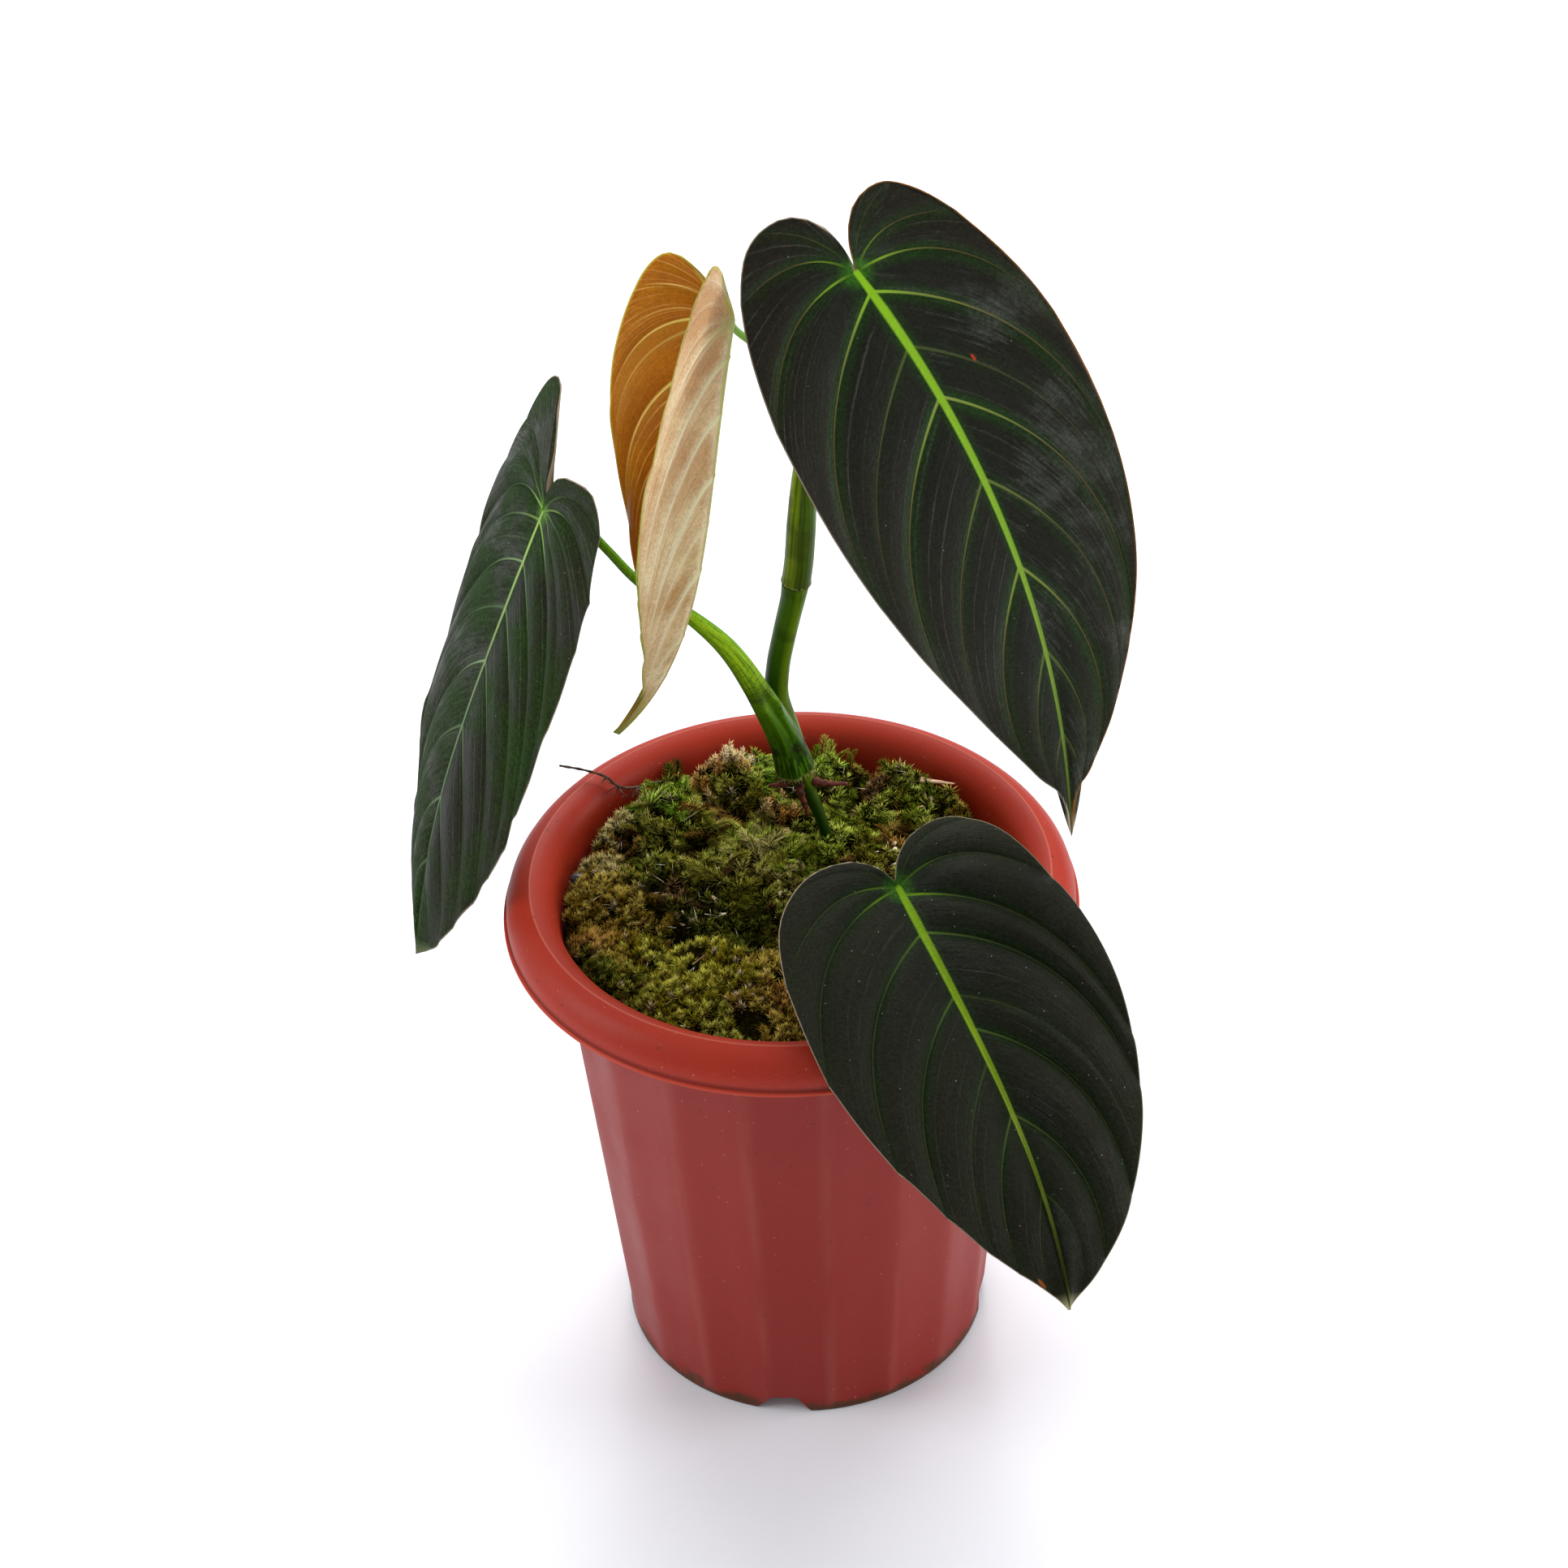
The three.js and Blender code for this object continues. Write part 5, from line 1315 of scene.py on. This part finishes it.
# How many of each kind of shoot grow on 100 square millimetres, in each kind of moss
CARPET = {brush_tuft: 27, dry_needle: 0.5}
FERNS = {fern_tuft: 6.5, star_tuft: 6, brush_tuft: 6, dry_needle: 1.0, flake: 0.4}
STARS = {star_tuft: 9, brush_tuft: 12, fern_tuft: 2.2, dry_needle: 1.4, flake: 0.5}
TOWERS = {upright_tuft: 8, brush_tuft: 12, dry_needle: 0.6}
THIN = {brush_tuft: 10, star_tuft: 4, dry_needle: 2.5, flake: 0.8}
MOST_SHOOTS = 30
# Places on the moss in whole millimetres from the pot's axis, some 12 mm apart. Each names the colour and the
# kind of moss that grows round it.
MOSS_ZONES = (
    (-34, 62, "amber", TOWERS), (-27, 57, "amber", TOWERS), (-21, 62, "cream", TOWERS),
    (-16, 60, "cream", TOWERS), (-17, 53, "olive", STARS), (-9, 64, "vivid", FERNS),
    (-40, 58, "dark", STARS), (-44, 50, "pale", CARPET), (-55, 43, "pale", CARPET),
    (-61, 35, "pale", CARPET), (-66, 24, "pale", CARPET), (-49, 40, "pale", CARPET),
    (-52, 30, "rust", THIN), (-55, 20, "pale", CARPET), (-40, 45, "vivid", FERNS),
    (-29, 50, "green", STARS), (-36, 36, "green", FERNS), (-44, 32, "olive", FERNS),
    (-30, 30, "olive", FERNS), (-22, 42, "rust", FERNS), (-17, 14, "fern", FERNS),
    (-13, 30, "green", FERNS), (-8, 38, "fern", FERNS), (-1, 24, "fern", FERNS),
    (-2, 44, "amber", TOWERS), (-24, 11, "olive", FERNS), (-20, 22, "green", FERNS),
    (-8, 15, "fern", FERNS), (-44, 12, "dark", STARS), (-32, 1, "dark", THIN),
    (-37, 3, "brown", THIN), (-13, -17, "dark", STARS), (-29, 15, "olive", STARS),
    (-13, -4, "olive", FERNS), (-6, 1, "fern", FERNS), (-23, -9, "dark", THIN),
    (-47, -6, "ochre", CARPET), (-44, -23, "yellow", CARPET), (-29, -38, "yellow", CARPET),
    (-36, -51, "yellow", CARPET), (-24, -24, "yellow", CARPET), (-14, -54, "ochre", CARPET),
    (-7, -34, "ochre", CARPET), (-20, -62, "olive", CARPET), (-18, -43, "yellow", CARPET),
    (-2, -46, "rust", CARPET), (-67, 13, "ochre", CARPET), (-67, -4, "ochre", CARPET),
    (-61, -15, "rust", CARPET), (-62, -31, "dark", CARPET), (-55, 4, "ochre", CARPET),
    (-50, -38, "olive", CARPET), (-54, -22, "ochre", CARPET), (10, 65, "vivid", FERNS),
    (20, 67, "olive", FERNS), (28, 60, "rust", THIN), (34, 62, "green", STARS),
    (46, 54, "green", STARS), (57, 44, "olive", STARS), (61, 37, "ochre", CARPET),
    (68, 24, "olive", STARS), (39, 47, "dark", THIN), (26, 48, "brown", THIN),
    (17, 48, "green", FERNS), (24, 37, "green", STARS), (42, 36, "green", STARS),
    (4, 49, "dark", THIN), (10, 40, "green", STARS), (50, 26, "olive", STARS),
    (2, 11, "green", FERNS), (13, 18, "green", STARS), (22, 24, "green", STARS),
    (34, 24, "rust", STARS), (28, 11, "olive", STARS), (45, 10, "green", STARS),
    (62, 5, "olive", STARS), (20, -6, "olive", FERNS), (8, -20, "olive", CARPET),
    (40, -15, "olive", STARS), (60, -25, "olive", CARPET), (25, -38, "olive", CARPET),
    (50, -45, "yellow", CARPET), (10, -60, "ochre", CARPET), (33, -62, "olive", CARPET),
)
CUSHIONS = (
    "moss_front", "moss_middle", "moss_left", "moss_back_left", "moss_pale_tuft", "moss_back",
    "moss_back_right", "moss_right", "moss_stem_side", "moss_front_right", "moss_left_edge",
)
# A shoot's tone is up to 1 when it lives, and then 2 for brown, 3 for pale and 4 for blanched
DRY_TONES = {dry_needle: (4, 3), flake: (3, 4, 3)}
DEAD_TONES = (2, 2, 3)
DEAD_SHARE = 0.05
TEMPLATES = 6  # shoots of each kind to copy
ROOT_DEPTH = 0.6  # how far a shoot's foot is sunk in, in millimetres
BED_DROP = 1.3  # how far the felt lies below the cushion's own surface
KEEP_CLEAR = 2.6  # from the middle of a stem, in millimetres
CLEAR_LINES = (STEM_LINE[:8], PETIOLE_LINES["front"][:8])
BACK_MOSS = 48  # how far back the star moss grows largest, and then where the feathery moss grows smallest
BACK_EDGE = 60
CLEFT = 0.36  # the noise value past which nothing grows
ZONE_WANDER = 5.0  # how far the border between two zones wanders, and how far their shoots mix
ZONE_MIXING = 1.8


def moss_bed(name):
    """The cushion's own solid, with its clefts softened."""
    bm = bmesh.new()
    bm.from_mesh(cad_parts[name].data)
    bmesh.ops.transform(bm, matrix=INTO_PLACE.inverted(), verts=bm.verts)
    bmesh.ops.remove_doubles(bm, verts=bm.verts, dist=0.01)
    bmesh.ops.subdivide_edges(bm, edges=bm.edges, cuts=1, use_grid_fill=True)
    bmesh.ops.smooth_vert(bm, verts=bm.verts, factor=0.5, use_axis_x=True, use_axis_y=True, use_axis_z=True)
    return bm


def felt_shade_material():
    """The felt of old brown stalks under the living moss, drawn nearly black as painted shade of the depths.
    """
    m = new_material("moss_felt_painted_shade", ior=1.4, specular_ior_level=0.0, roughness=0.95)
    at = add(m, "TexCoord", out=3)
    stalks = add(m, "TexNoise", {0: at, "Scale": 900.0, "Detail": 5.0, "Roughness": 0.7})
    base = add(m, "ValToRGB", {0: stalks}, stops=((0.38, "#0a0803"), (0.72, "#4a4214"), (0.55, "#1c1807")))
    bump = add(m, "Bump", {"Height": stalks, "Strength": 1.0, "Distance": 0.001})
    connect(m, base_color=base, normal=bump)
    return m


def is_clear(place):
    """Whether a tuft here would leave the stems free."""
    for line in CLEAR_LINES:
        for a, b in zip(line, line[1:]):
            a, b = Vector(a[:3]), Vector(b[:3])
            share = min(max((place - a).dot(b - a) / (b - a).length_squared, 0), 1)
            if (place - a.lerp(b, share)).length < KEEP_CLEAR:
                return False
    return True


def spots_on(bm, draw, density):
    """Sows places by area over the upper side of a cushion, fewer where the moss has clefts."""
    spots = []
    for face in [face for face in bm.faces if face.normal.z > 0.05]:
        wanted = face.calc_area() * density
        for _ in range(int(wanted) + (draw.random() < wanted % 1)):
            a, b = draw.random(), draw.random()
            if a + b > 1:
                a, b = 1 - a, 1 - b
            corners = [v.co for v in face.verts]
            place = corners[0] + (corners[1] - corners[0]) * a + (corners[2] - corners[0]) * b
            cleft = noise.noise(place * 0.11 + Vector((3, 0, 0)))
            if is_clear(place) and cleft > -CLEFT - 0.1 * draw.random():
                spots.append((place.copy(), face.normal.copy()))
    return spots


def zone_at(draw, place):
    """The moss that grows here. The borders between zones wander, and neighbours mix across them."""
    x = place.x + ZONE_WANDER * noise.noise(place * 0.09) + draw.gauss(0, ZONE_MIXING)
    y = place.y + ZONE_WANDER * noise.noise(place * 0.09 + Vector((0, 0, 9))) + draw.gauss(0, ZONE_MIXING)
    return min(MOSS_ZONES, key=lambda zone: (zone[0] - x) ** 2 + (zone[1] - y) ** 2)


def kind_in(draw, kinds):
    """Draws a kind of shoot by how many of each there should be, or none."""
    left = draw.random() * MOST_SHOOTS
    for kind, count in kinds.items():
        left -= count
        if left < 0:
            return kind
    return None


def vigour(place, kinds):
    """How large the shoots of a kind of moss grow here."""
    if kinds is STARS and place.y > BACK_MOSS:
        return 1.2
    if kinds is FERNS and place.y > BACK_EDGE:
        return 0.8
    return 1


def way_up(place, normal, wildness, draw):
    """The way that a shoot grows: between upright and square to the cushion, and outwards near the rim."""
    wild = Vector((draw.uniform(-1, 1), draw.uniform(-1, 1), 0)) * wildness
    up = (normal * 0.45 + Vector((0, 0, 0.75)) + wild).normalized()
    near_rim = max(0, math.hypot(place.x, place.y) - 60) / 14
    return (up - Vector((place.x, place.y, 0)) / 75 * near_rim).normalized()


def grow_moss(bed, draw, density):
    """Sets copies of shoots on a cushion, each turned, sized and toned by itself."""
    makers = (brush_tuft, star_tuft, fern_tuft, upright_tuft, flake, dry_needle)
    templates = {maker: [tuft(draw, maker) for _ in range(TEMPLATES)] for maker in makers}
    colours = list(MOSS_COLOURS)
    patch = bmesh.new()
    for place, normal in spots_on(bed, draw, MOST_SHOOTS / 100 * density):
        _, _, colour, kinds = zone_at(draw, place)
        kind = kind_in(draw, kinds)
        if not kind:
            continue
        up = way_up(place, normal, 0.25 if kinds is CARPET else 0.45, draw)
        turn = up.to_track_quat("Z", "Y").to_matrix().to_4x4() @ any_turn(draw)
        copy = draw.choice(templates[kind]).copy()
        size = draw.uniform(0.75, 1.25) * vigour(place, kinds)
        copy.transform(Matrix.Translation(place - up * ROOT_DEPTH) @ turn @ Matrix.Scale(size, 4))
        tone = draw.choice(DRY_TONES[kind]) if kind in DRY_TONES else draw.random()
        if kind not in DRY_TONES and draw.random() < DEAD_SHARE:
            tone = draw.choice(DEAD_TONES)
        copy.attributes["tone"].data.foreach_set("value", [tone] * len(copy.vertices))
        copy.polygons.foreach_set("material_index", [colours.index(colour)] * len(copy.polygons))
        patch.from_mesh(copy)
        bpy.data.meshes.remove(copy)
    for group in templates.values():
        for template in group:
            bpy.data.meshes.remove(template)
    return patch


class MossSettings(bpy.types.PropertyGroup):
    """How the moss grows."""
    density: bpy.props.FloatProperty(
        name="Density", description="Share of the full number of shoots", default=1.0, subtype="FACTOR",
    )


class PLANT_OT_moss(bpy.types.Operator):
    """Grows the moss cushions over the potting mix"""
    bl_idname = "plant.moss"
    bl_label = "Moss"

    def execute(self, context):
        finishes = [moss_material("moss_leaves_" + name, *shades) for name, shades in MOSS_COLOURS.items()]
        finishes.append(felt_shade_material())
        for number, name in enumerate(CUSHIONS):
            draw = random.Random(number + 11)
            bed = moss_bed(name)
            bed.normal_update()
            bed.verts.layers.float.new("tip")
            bed.verts.layers.float.new("tone")
            grown = grow_moss(bed, draw, context.scene.plant_moss.density)
            for corner in bed.verts:
                corner.co.z -= BED_DROP * max(corner.normal.z, 0)
            for face in bed.faces:
                face.material_index = len(MOSS_COLOURS)
            mesh = bpy.data.meshes.new("patch")
            grown.to_mesh(mesh)
            grown.free()
            bed.from_mesh(mesh)
            bpy.data.meshes.remove(mesh)
            finish_piece(bed, name + "_cushion", [name], finishes)
        return {"FINISHED"}


def crumb_material():
    """Potting mix: damp bark crumbs and peat, nearly black, with a few paler chips."""
    m = new_material("damp_potting_mix", ior=1.4, specular_ior_level=0.35)
    at = add(m, "TexCoord", out=3)
    crumbs = add(m, "TexVoronoi", {0: at, "Scale": 420.0})
    pick = add(m, "SeparateColor", {0: crumbs.node.outputs[1]})
    base = add(m, "ValToRGB", {0: pick}, stops=((0.2, "#1a130d"), (0.97, "#6b4a30"), (0.75, "#33241a")))
    rough = add(m, "MapRange", {0: pick, 3: 0.6, 4: 0.95})
    bump = add(m, "Bump", {"Height": crumbs, "Strength": 0.6, "Distance": 0.001})
    connect(m, base_color=base, roughness=rough, normal=bump)
    return m


CRUMB_COUNT = 700
CRUMB_REACH = 71.0  # from the pot's axis
MIX_GAP = 0.3  # between the mix and the pot


class PLANT_OT_mix(bpy.types.Operator):
    """Fills the pot with potting mix and strews crumbs over it"""
    bl_idname = "plant.mix"
    bl_label = "Potting mix"

    def execute(self, context):
        bm = bmesh.new()
        bottom = FLOOR_HEIGHT + FLOOR_THICKNESS + MIX_GAP
        section = [
            (0, bottom), (inner_wall(bottom) - MIX_GAP, bottom),
            (inner_wall(MIX_HEIGHT) - MIX_GAP, MIX_HEIGHT - 1),
        ]
        section += [(radius, MIX_HEIGHT) for radius in range(70, 0, -2)] + [(0, MIX_HEIGHT)]
        spin_section(bm, section, 96)
        for corner in bm.verts:
            if corner.co.z > MIX_HEIGHT - 2:
                corner.co.z += 1.2 * noise.noise(corner.co * 0.25)
        draw = random.Random(5)
        for _ in range(CRUMB_COUNT):
            angle = draw.random() * WHOLE_TURN
            radius = CRUMB_REACH * math.sqrt(draw.uniform(0.3, 1))
            place = Matrix.Translation((radius * math.cos(angle), radius * math.sin(angle), MIX_HEIGHT + 0.4))
            turn = Euler([draw.random() * ANY_TWIST for _ in range(3)]).to_matrix().to_4x4()
            size = (draw.uniform(0.6, 1.6), draw.uniform(0.5, 1.1), draw.uniform(0.4, 0.8), 1)
            lie = place @ turn @ Matrix.Diagonal(size)
            bmesh.ops.create_icosphere(bm, subdivisions=1, radius=1, matrix=lie)
        finish_piece(bm, "potting_mix_crumbs", ["potting_mix"], [crumb_material()])
        return {"FINISHED"}


def wood_material():
    """Splintered softwood: pale dry fibres with darker lines along the grain."""
    m = new_material("weathered_wood_splinter", ior=1.5, specular_ior_level=0.3)
    at = add(m, "TexCoord", out=3)
    along = add(m, "Mapping", {0: at, 2: (0.0, 0.0, math.radians(14)), 3: (0.12, 1.0, 1.0)})
    grain = add(m, "TexNoise", {0: along, "Scale": 1500.0, "Detail": 4.0})
    base = add(m, "ValToRGB", {0: grain}, stops=((0.3, "#9a6c50"), (0.62, "#dcb898")))
    rough = add(m, "MapRange", {0: grain, 3: 0.7, 4: 0.9})
    bump = add(m, "Bump", {"Height": grain, "Strength": 0.5, "Distance": 0.0003})
    connect(m, base_color=base, roughness=rough, normal=bump)
    return m


def stone_material():
    """Wet dark slate pebble: smooth, blue-black, with faint mottling."""
    m = new_material("dark_slate_pebble", ior=1.5, specular_ior_level=0.5)
    at = add(m, "TexCoord", out=3)
    mottle = add(m, "TexNoise", {0: at, "Scale": 500.0, "Detail": 4.0})
    base = add(m, "ValToRGB", {0: mottle}, stops=((0.3, "#14161c"), (0.7, "#3a3f4c")))
    rough = add(m, "MapRange", {0: mottle, 3: 0.3, 4: 0.5})
    connect(m, base_color=base, roughness=rough)
    return m


SPLINTER_PLACE = (48.5, 45.5, 176.6)
SPLINTER_LENGTH = 11.0
SPLINTER_TURN = math.radians(-14)
PEBBLE_PLACE = (-66.8, 12.4, 170)
PEBBLE_RADIUS = 2.2
ROOTLET_COUNT = 15
ROOTLET_STEP = 1.7


def splinter_mesh():
    """A rough flat splinter that lies level and tapers to one end."""
    bm = bmesh.new()
    bmesh.ops.create_cone(bm, cap_ends=True, segments=10, radius1=1.3, radius2=0.3, depth=SPLINTER_LENGTH)
    ring = [edge for edge in bm.edges if abs(edge.verts[0].co.z - edge.verts[1].co.z) > 5]
    bmesh.ops.subdivide_edges(bm, edges=ring, cuts=10)
    lie = Matrix.Translation(SPLINTER_PLACE) @ Matrix.Rotation(SPLINTER_TURN, 4, "Z")
    lie = lie @ Matrix.Rotation(math.radians(90), 4, "Y") @ Matrix.Diagonal((0.5, 1, 1, 1))
    for corner in bm.verts:
        x, y, z = corner.co
        rough = 1 + 0.35 * noise.noise(Vector((x * 2, y * 2, z * 0.5)))
        corner.co = (x * rough, y * rough, z)
    bmesh.ops.transform(bm, matrix=lie, verts=bm.verts)
    return bm


def pebble_mesh():
    """A worn pebble, a little flattened and uneven."""
    bm = bmesh.new()
    made = bmesh.ops.create_icosphere(bm, subdivisions=3, radius=PEBBLE_RADIUS)["verts"]
    for corner in made:
        corner.co *= 1 + 0.1 * noise.noise(corner.co * 0.9)
    place = Matrix.Translation(PEBBLE_PLACE) @ Matrix.Diagonal((1.15, 0.9, 0.8, 1))
    bmesh.ops.transform(bm, matrix=place, verts=made)
    return bm


def dry_root_knots(angle, length, radius):
    """Knots and waists along a shrunken root."""
    return 0.2 * radius * math.sin(length * 1.7)


def dry_root_mesh():
    """The dry root with the finer rootlets that hang from its outer part."""
    bm = bmesh.new()
    skin = bm.verts.layers.float_vector.new("skin")
    add_tube(bm, DRY_ROOT_LINE, 10, 8, skin, dry_root_knots)
    draw = random.Random(21)
    for _ in range(ROOTLET_COUNT):
        at = min(int(draw.triangular(2, 7.2, 3.6)), 7)
        start = Vector(DRY_ROOT_LINE[at][:3])
        heading = draw.uniform(-3.0, 0.4)
        line = [(*start, 0.26)]
        for step in range(1, 4):
            ahead = Vector((math.cos(heading) * ROOTLET_STEP, math.sin(heading) * ROOTLET_STEP, 0))
            ahead.z = draw.uniform(-0.9, 0.5)
            start = start + ahead
            heading += draw.uniform(-0.8, 0.8)
            line.append((*start, 0.24 - 0.05 * step))
        add_tube(bm, line, 6, 4, skin)
    bmesh.ops.recalc_face_normals(bm, faces=bm.faces)
    return bm


class PLANT_OT_litter(bpy.types.Operator):
    """Lays the wood splinter, the pebble and the dry root on the moss"""
    bl_idname = "plant.litter"
    bl_label = "Litter"

    def execute(self, context):
        bark = root_material("dry_root_bark", "#2b1d18", "#6a5040")
        finish_piece(splinter_mesh(), "wood_splinter", ["wood_chip"], [wood_material()])
        finish_piece(pebble_mesh(), "slate_pebble", ["pebble"], [stone_material()])
        finish_piece(dry_root_mesh(), "dry_root_thread", ["dry_root"], [bark])
        return {"FINISHED"}


# Stage

class StageSettings(bpy.types.PropertyGroup):
    """Distance, elevation, roll and lens of the camera."""
    distance: bpy.props.FloatProperty(
        name="Distance", description="Camera to target", default=1.241, unit="LENGTH",
    )
    elevation: bpy.props.FloatProperty(
        name="Elevation", description="How steeply the camera looks down", default=math.radians(37.97),
        unit="ROTATION",
    )
    roll: bpy.props.FloatProperty(
        name="Roll", description="Tilt of the frame", default=math.radians(-2.44), unit="ROTATION",
    )
    lens: bpy.props.FloatProperty(name="Focal length", description="In millimetres on 36 mm", default=93.17)


TARGET = Vector((-0.00066, 0, 0.2139)) + AXIS_M
# Name, place and aim in metres, width and height, power in watts, and the angle of its beam
LIGHTS = (
    ("back_softbox", (0.1, 1.05, 1.6), (0, 0.1, 0.2), (1.8, 1.2), 34, math.pi),
    ("floor_light", (0, -0.6, 1.1), (0, -0.44, 0), (0.3, 0.3), 0.34, math.radians(40)),
    ("left_softbox", (-1.4, -0.1, 0.9), (0, 0, 0.2), (0.7, 1.2), 10, math.pi),
    ("right_softbox", (1.5, 0.0, 0.55), (0, 0, 0.1), (0.7, 0.9), 11, math.pi),
)


def add_light(name, place, aim, size, power, spread):
    """Adds a softbox that points at its aim."""
    data = bpy.data.lights.new(name, "AREA")
    data.shape = "RECTANGLE"
    data.size, data.size_y = size
    data.energy = power
    data.spread = spread
    light = bpy.data.objects.new(name, data)
    light.location = place
    light.rotation_euler = (Vector(aim) - Vector(place)).to_track_quat("-Z", "Y").to_euler()
    bpy.context.scene.collection.objects.link(light)


class PLANT_OT_stage(bpy.types.Operator):
    """Sets up the camera, the pale floor and soft studio light"""
    bl_idname = "plant.stage"
    bl_label = "Stage"

    def execute(self, context):
        settings = context.scene.plant_stage
        scene = context.scene
        back = Vector((0, -math.cos(settings.elevation), math.sin(settings.elevation)))
        right = Vector((1, 0, 0))
        up = back.cross(right)
        turned_right = right * math.cos(settings.roll) + up * math.sin(settings.roll)
        turned_up = up * math.cos(settings.roll) - right * math.sin(settings.roll)
        camera_data = bpy.data.cameras.new("camera")
        camera_data.lens = settings.lens
        camera_data.sensor_width = 36
        camera_data.clip_end = 20
        camera = bpy.data.objects.new("camera", camera_data)
        turn = Matrix((turned_right, turned_up, back)).transposed().to_4x4()
        camera.matrix_world = Matrix.Translation(TARGET + back * settings.distance) @ turn
        scene.collection.objects.link(camera)
        scene.camera = camera

        bm = bmesh.new()
        bmesh.ops.create_grid(bm, x_segments=1, y_segments=1, size=6)
        mesh = bpy.data.meshes.new("floor")
        bm.to_mesh(mesh)
        bm.free()
        floor = bpy.data.objects.new("floor", mesh)
        scene.collection.objects.link(floor)
        # acrylic sheet, cast: smooth white with a faint cool tint and a soft gloss
        board = new_material(
            "white_acrylic_board", base_color=linear("#f1f4f9"), roughness=0.25, specular_ior_level=0.25,
        )
        mesh.materials.append(board)

        world = bpy.data.worlds.new("studio")
        world.use_nodes = True
        sky = world.node_tree.nodes["Background"]
        sky.inputs[0].default_value = linear("#fafbff")
        sky.inputs[1].default_value = 0.5
        scene.world = world
        for light in LIGHTS:
            add_light(*light)
        scene.view_settings.view_transform = "Standard"
        return {"FINISHED"}


class PLANT_PT_panel(bpy.types.Panel):
    """Lists the pieces of the potted plant"""
    bl_idname = "PLANT_PT_panel"
    bl_label = "Potted plant"
    bl_space_type = "VIEW_3D"
    bl_region_type = "UI"
    bl_category = "Plant"

    def draw(self, context):
        for operator in OPERATORS:
            self.layout.operator(operator.bl_idname)


OPERATORS = (
    PLANT_OT_stage, PLANT_OT_pot, PLANT_OT_mix, PLANT_OT_moss, PLANT_OT_litter, PLANT_OT_stem,
    PLANT_OT_petioles, PLANT_OT_blades,
)
SETTINGS = {"plant_pot": PotSettings, "plant_moss": MossSettings, "plant_stage": StageSettings}


def register():
    for group in SETTINGS.values():
        bpy.utils.register_class(group)
    for name, group in SETTINGS.items():
        setattr(bpy.types.Scene, name, bpy.props.PointerProperty(type=group))
    for operator in OPERATORS:
        bpy.utils.register_class(operator)
    bpy.utils.register_class(PLANT_PT_panel)


def unregister():
    bpy.utils.unregister_class(PLANT_PT_panel)
    for operator in reversed(OPERATORS):
        bpy.utils.unregister_class(operator)
    for name in SETTINGS:
        delattr(bpy.types.Scene, name)
    for group in reversed(SETTINGS.values()):
        bpy.utils.unregister_class(group)


def main():
    register()
    bpy.ops.plant.stage()
    bpy.ops.plant.pot()
    bpy.ops.plant.mix()
    bpy.ops.plant.moss()
    bpy.ops.plant.litter()
    bpy.ops.plant.stem()
    bpy.ops.plant.petioles()
    bpy.ops.plant.blades()


if __name__ == "__main__":
    main()
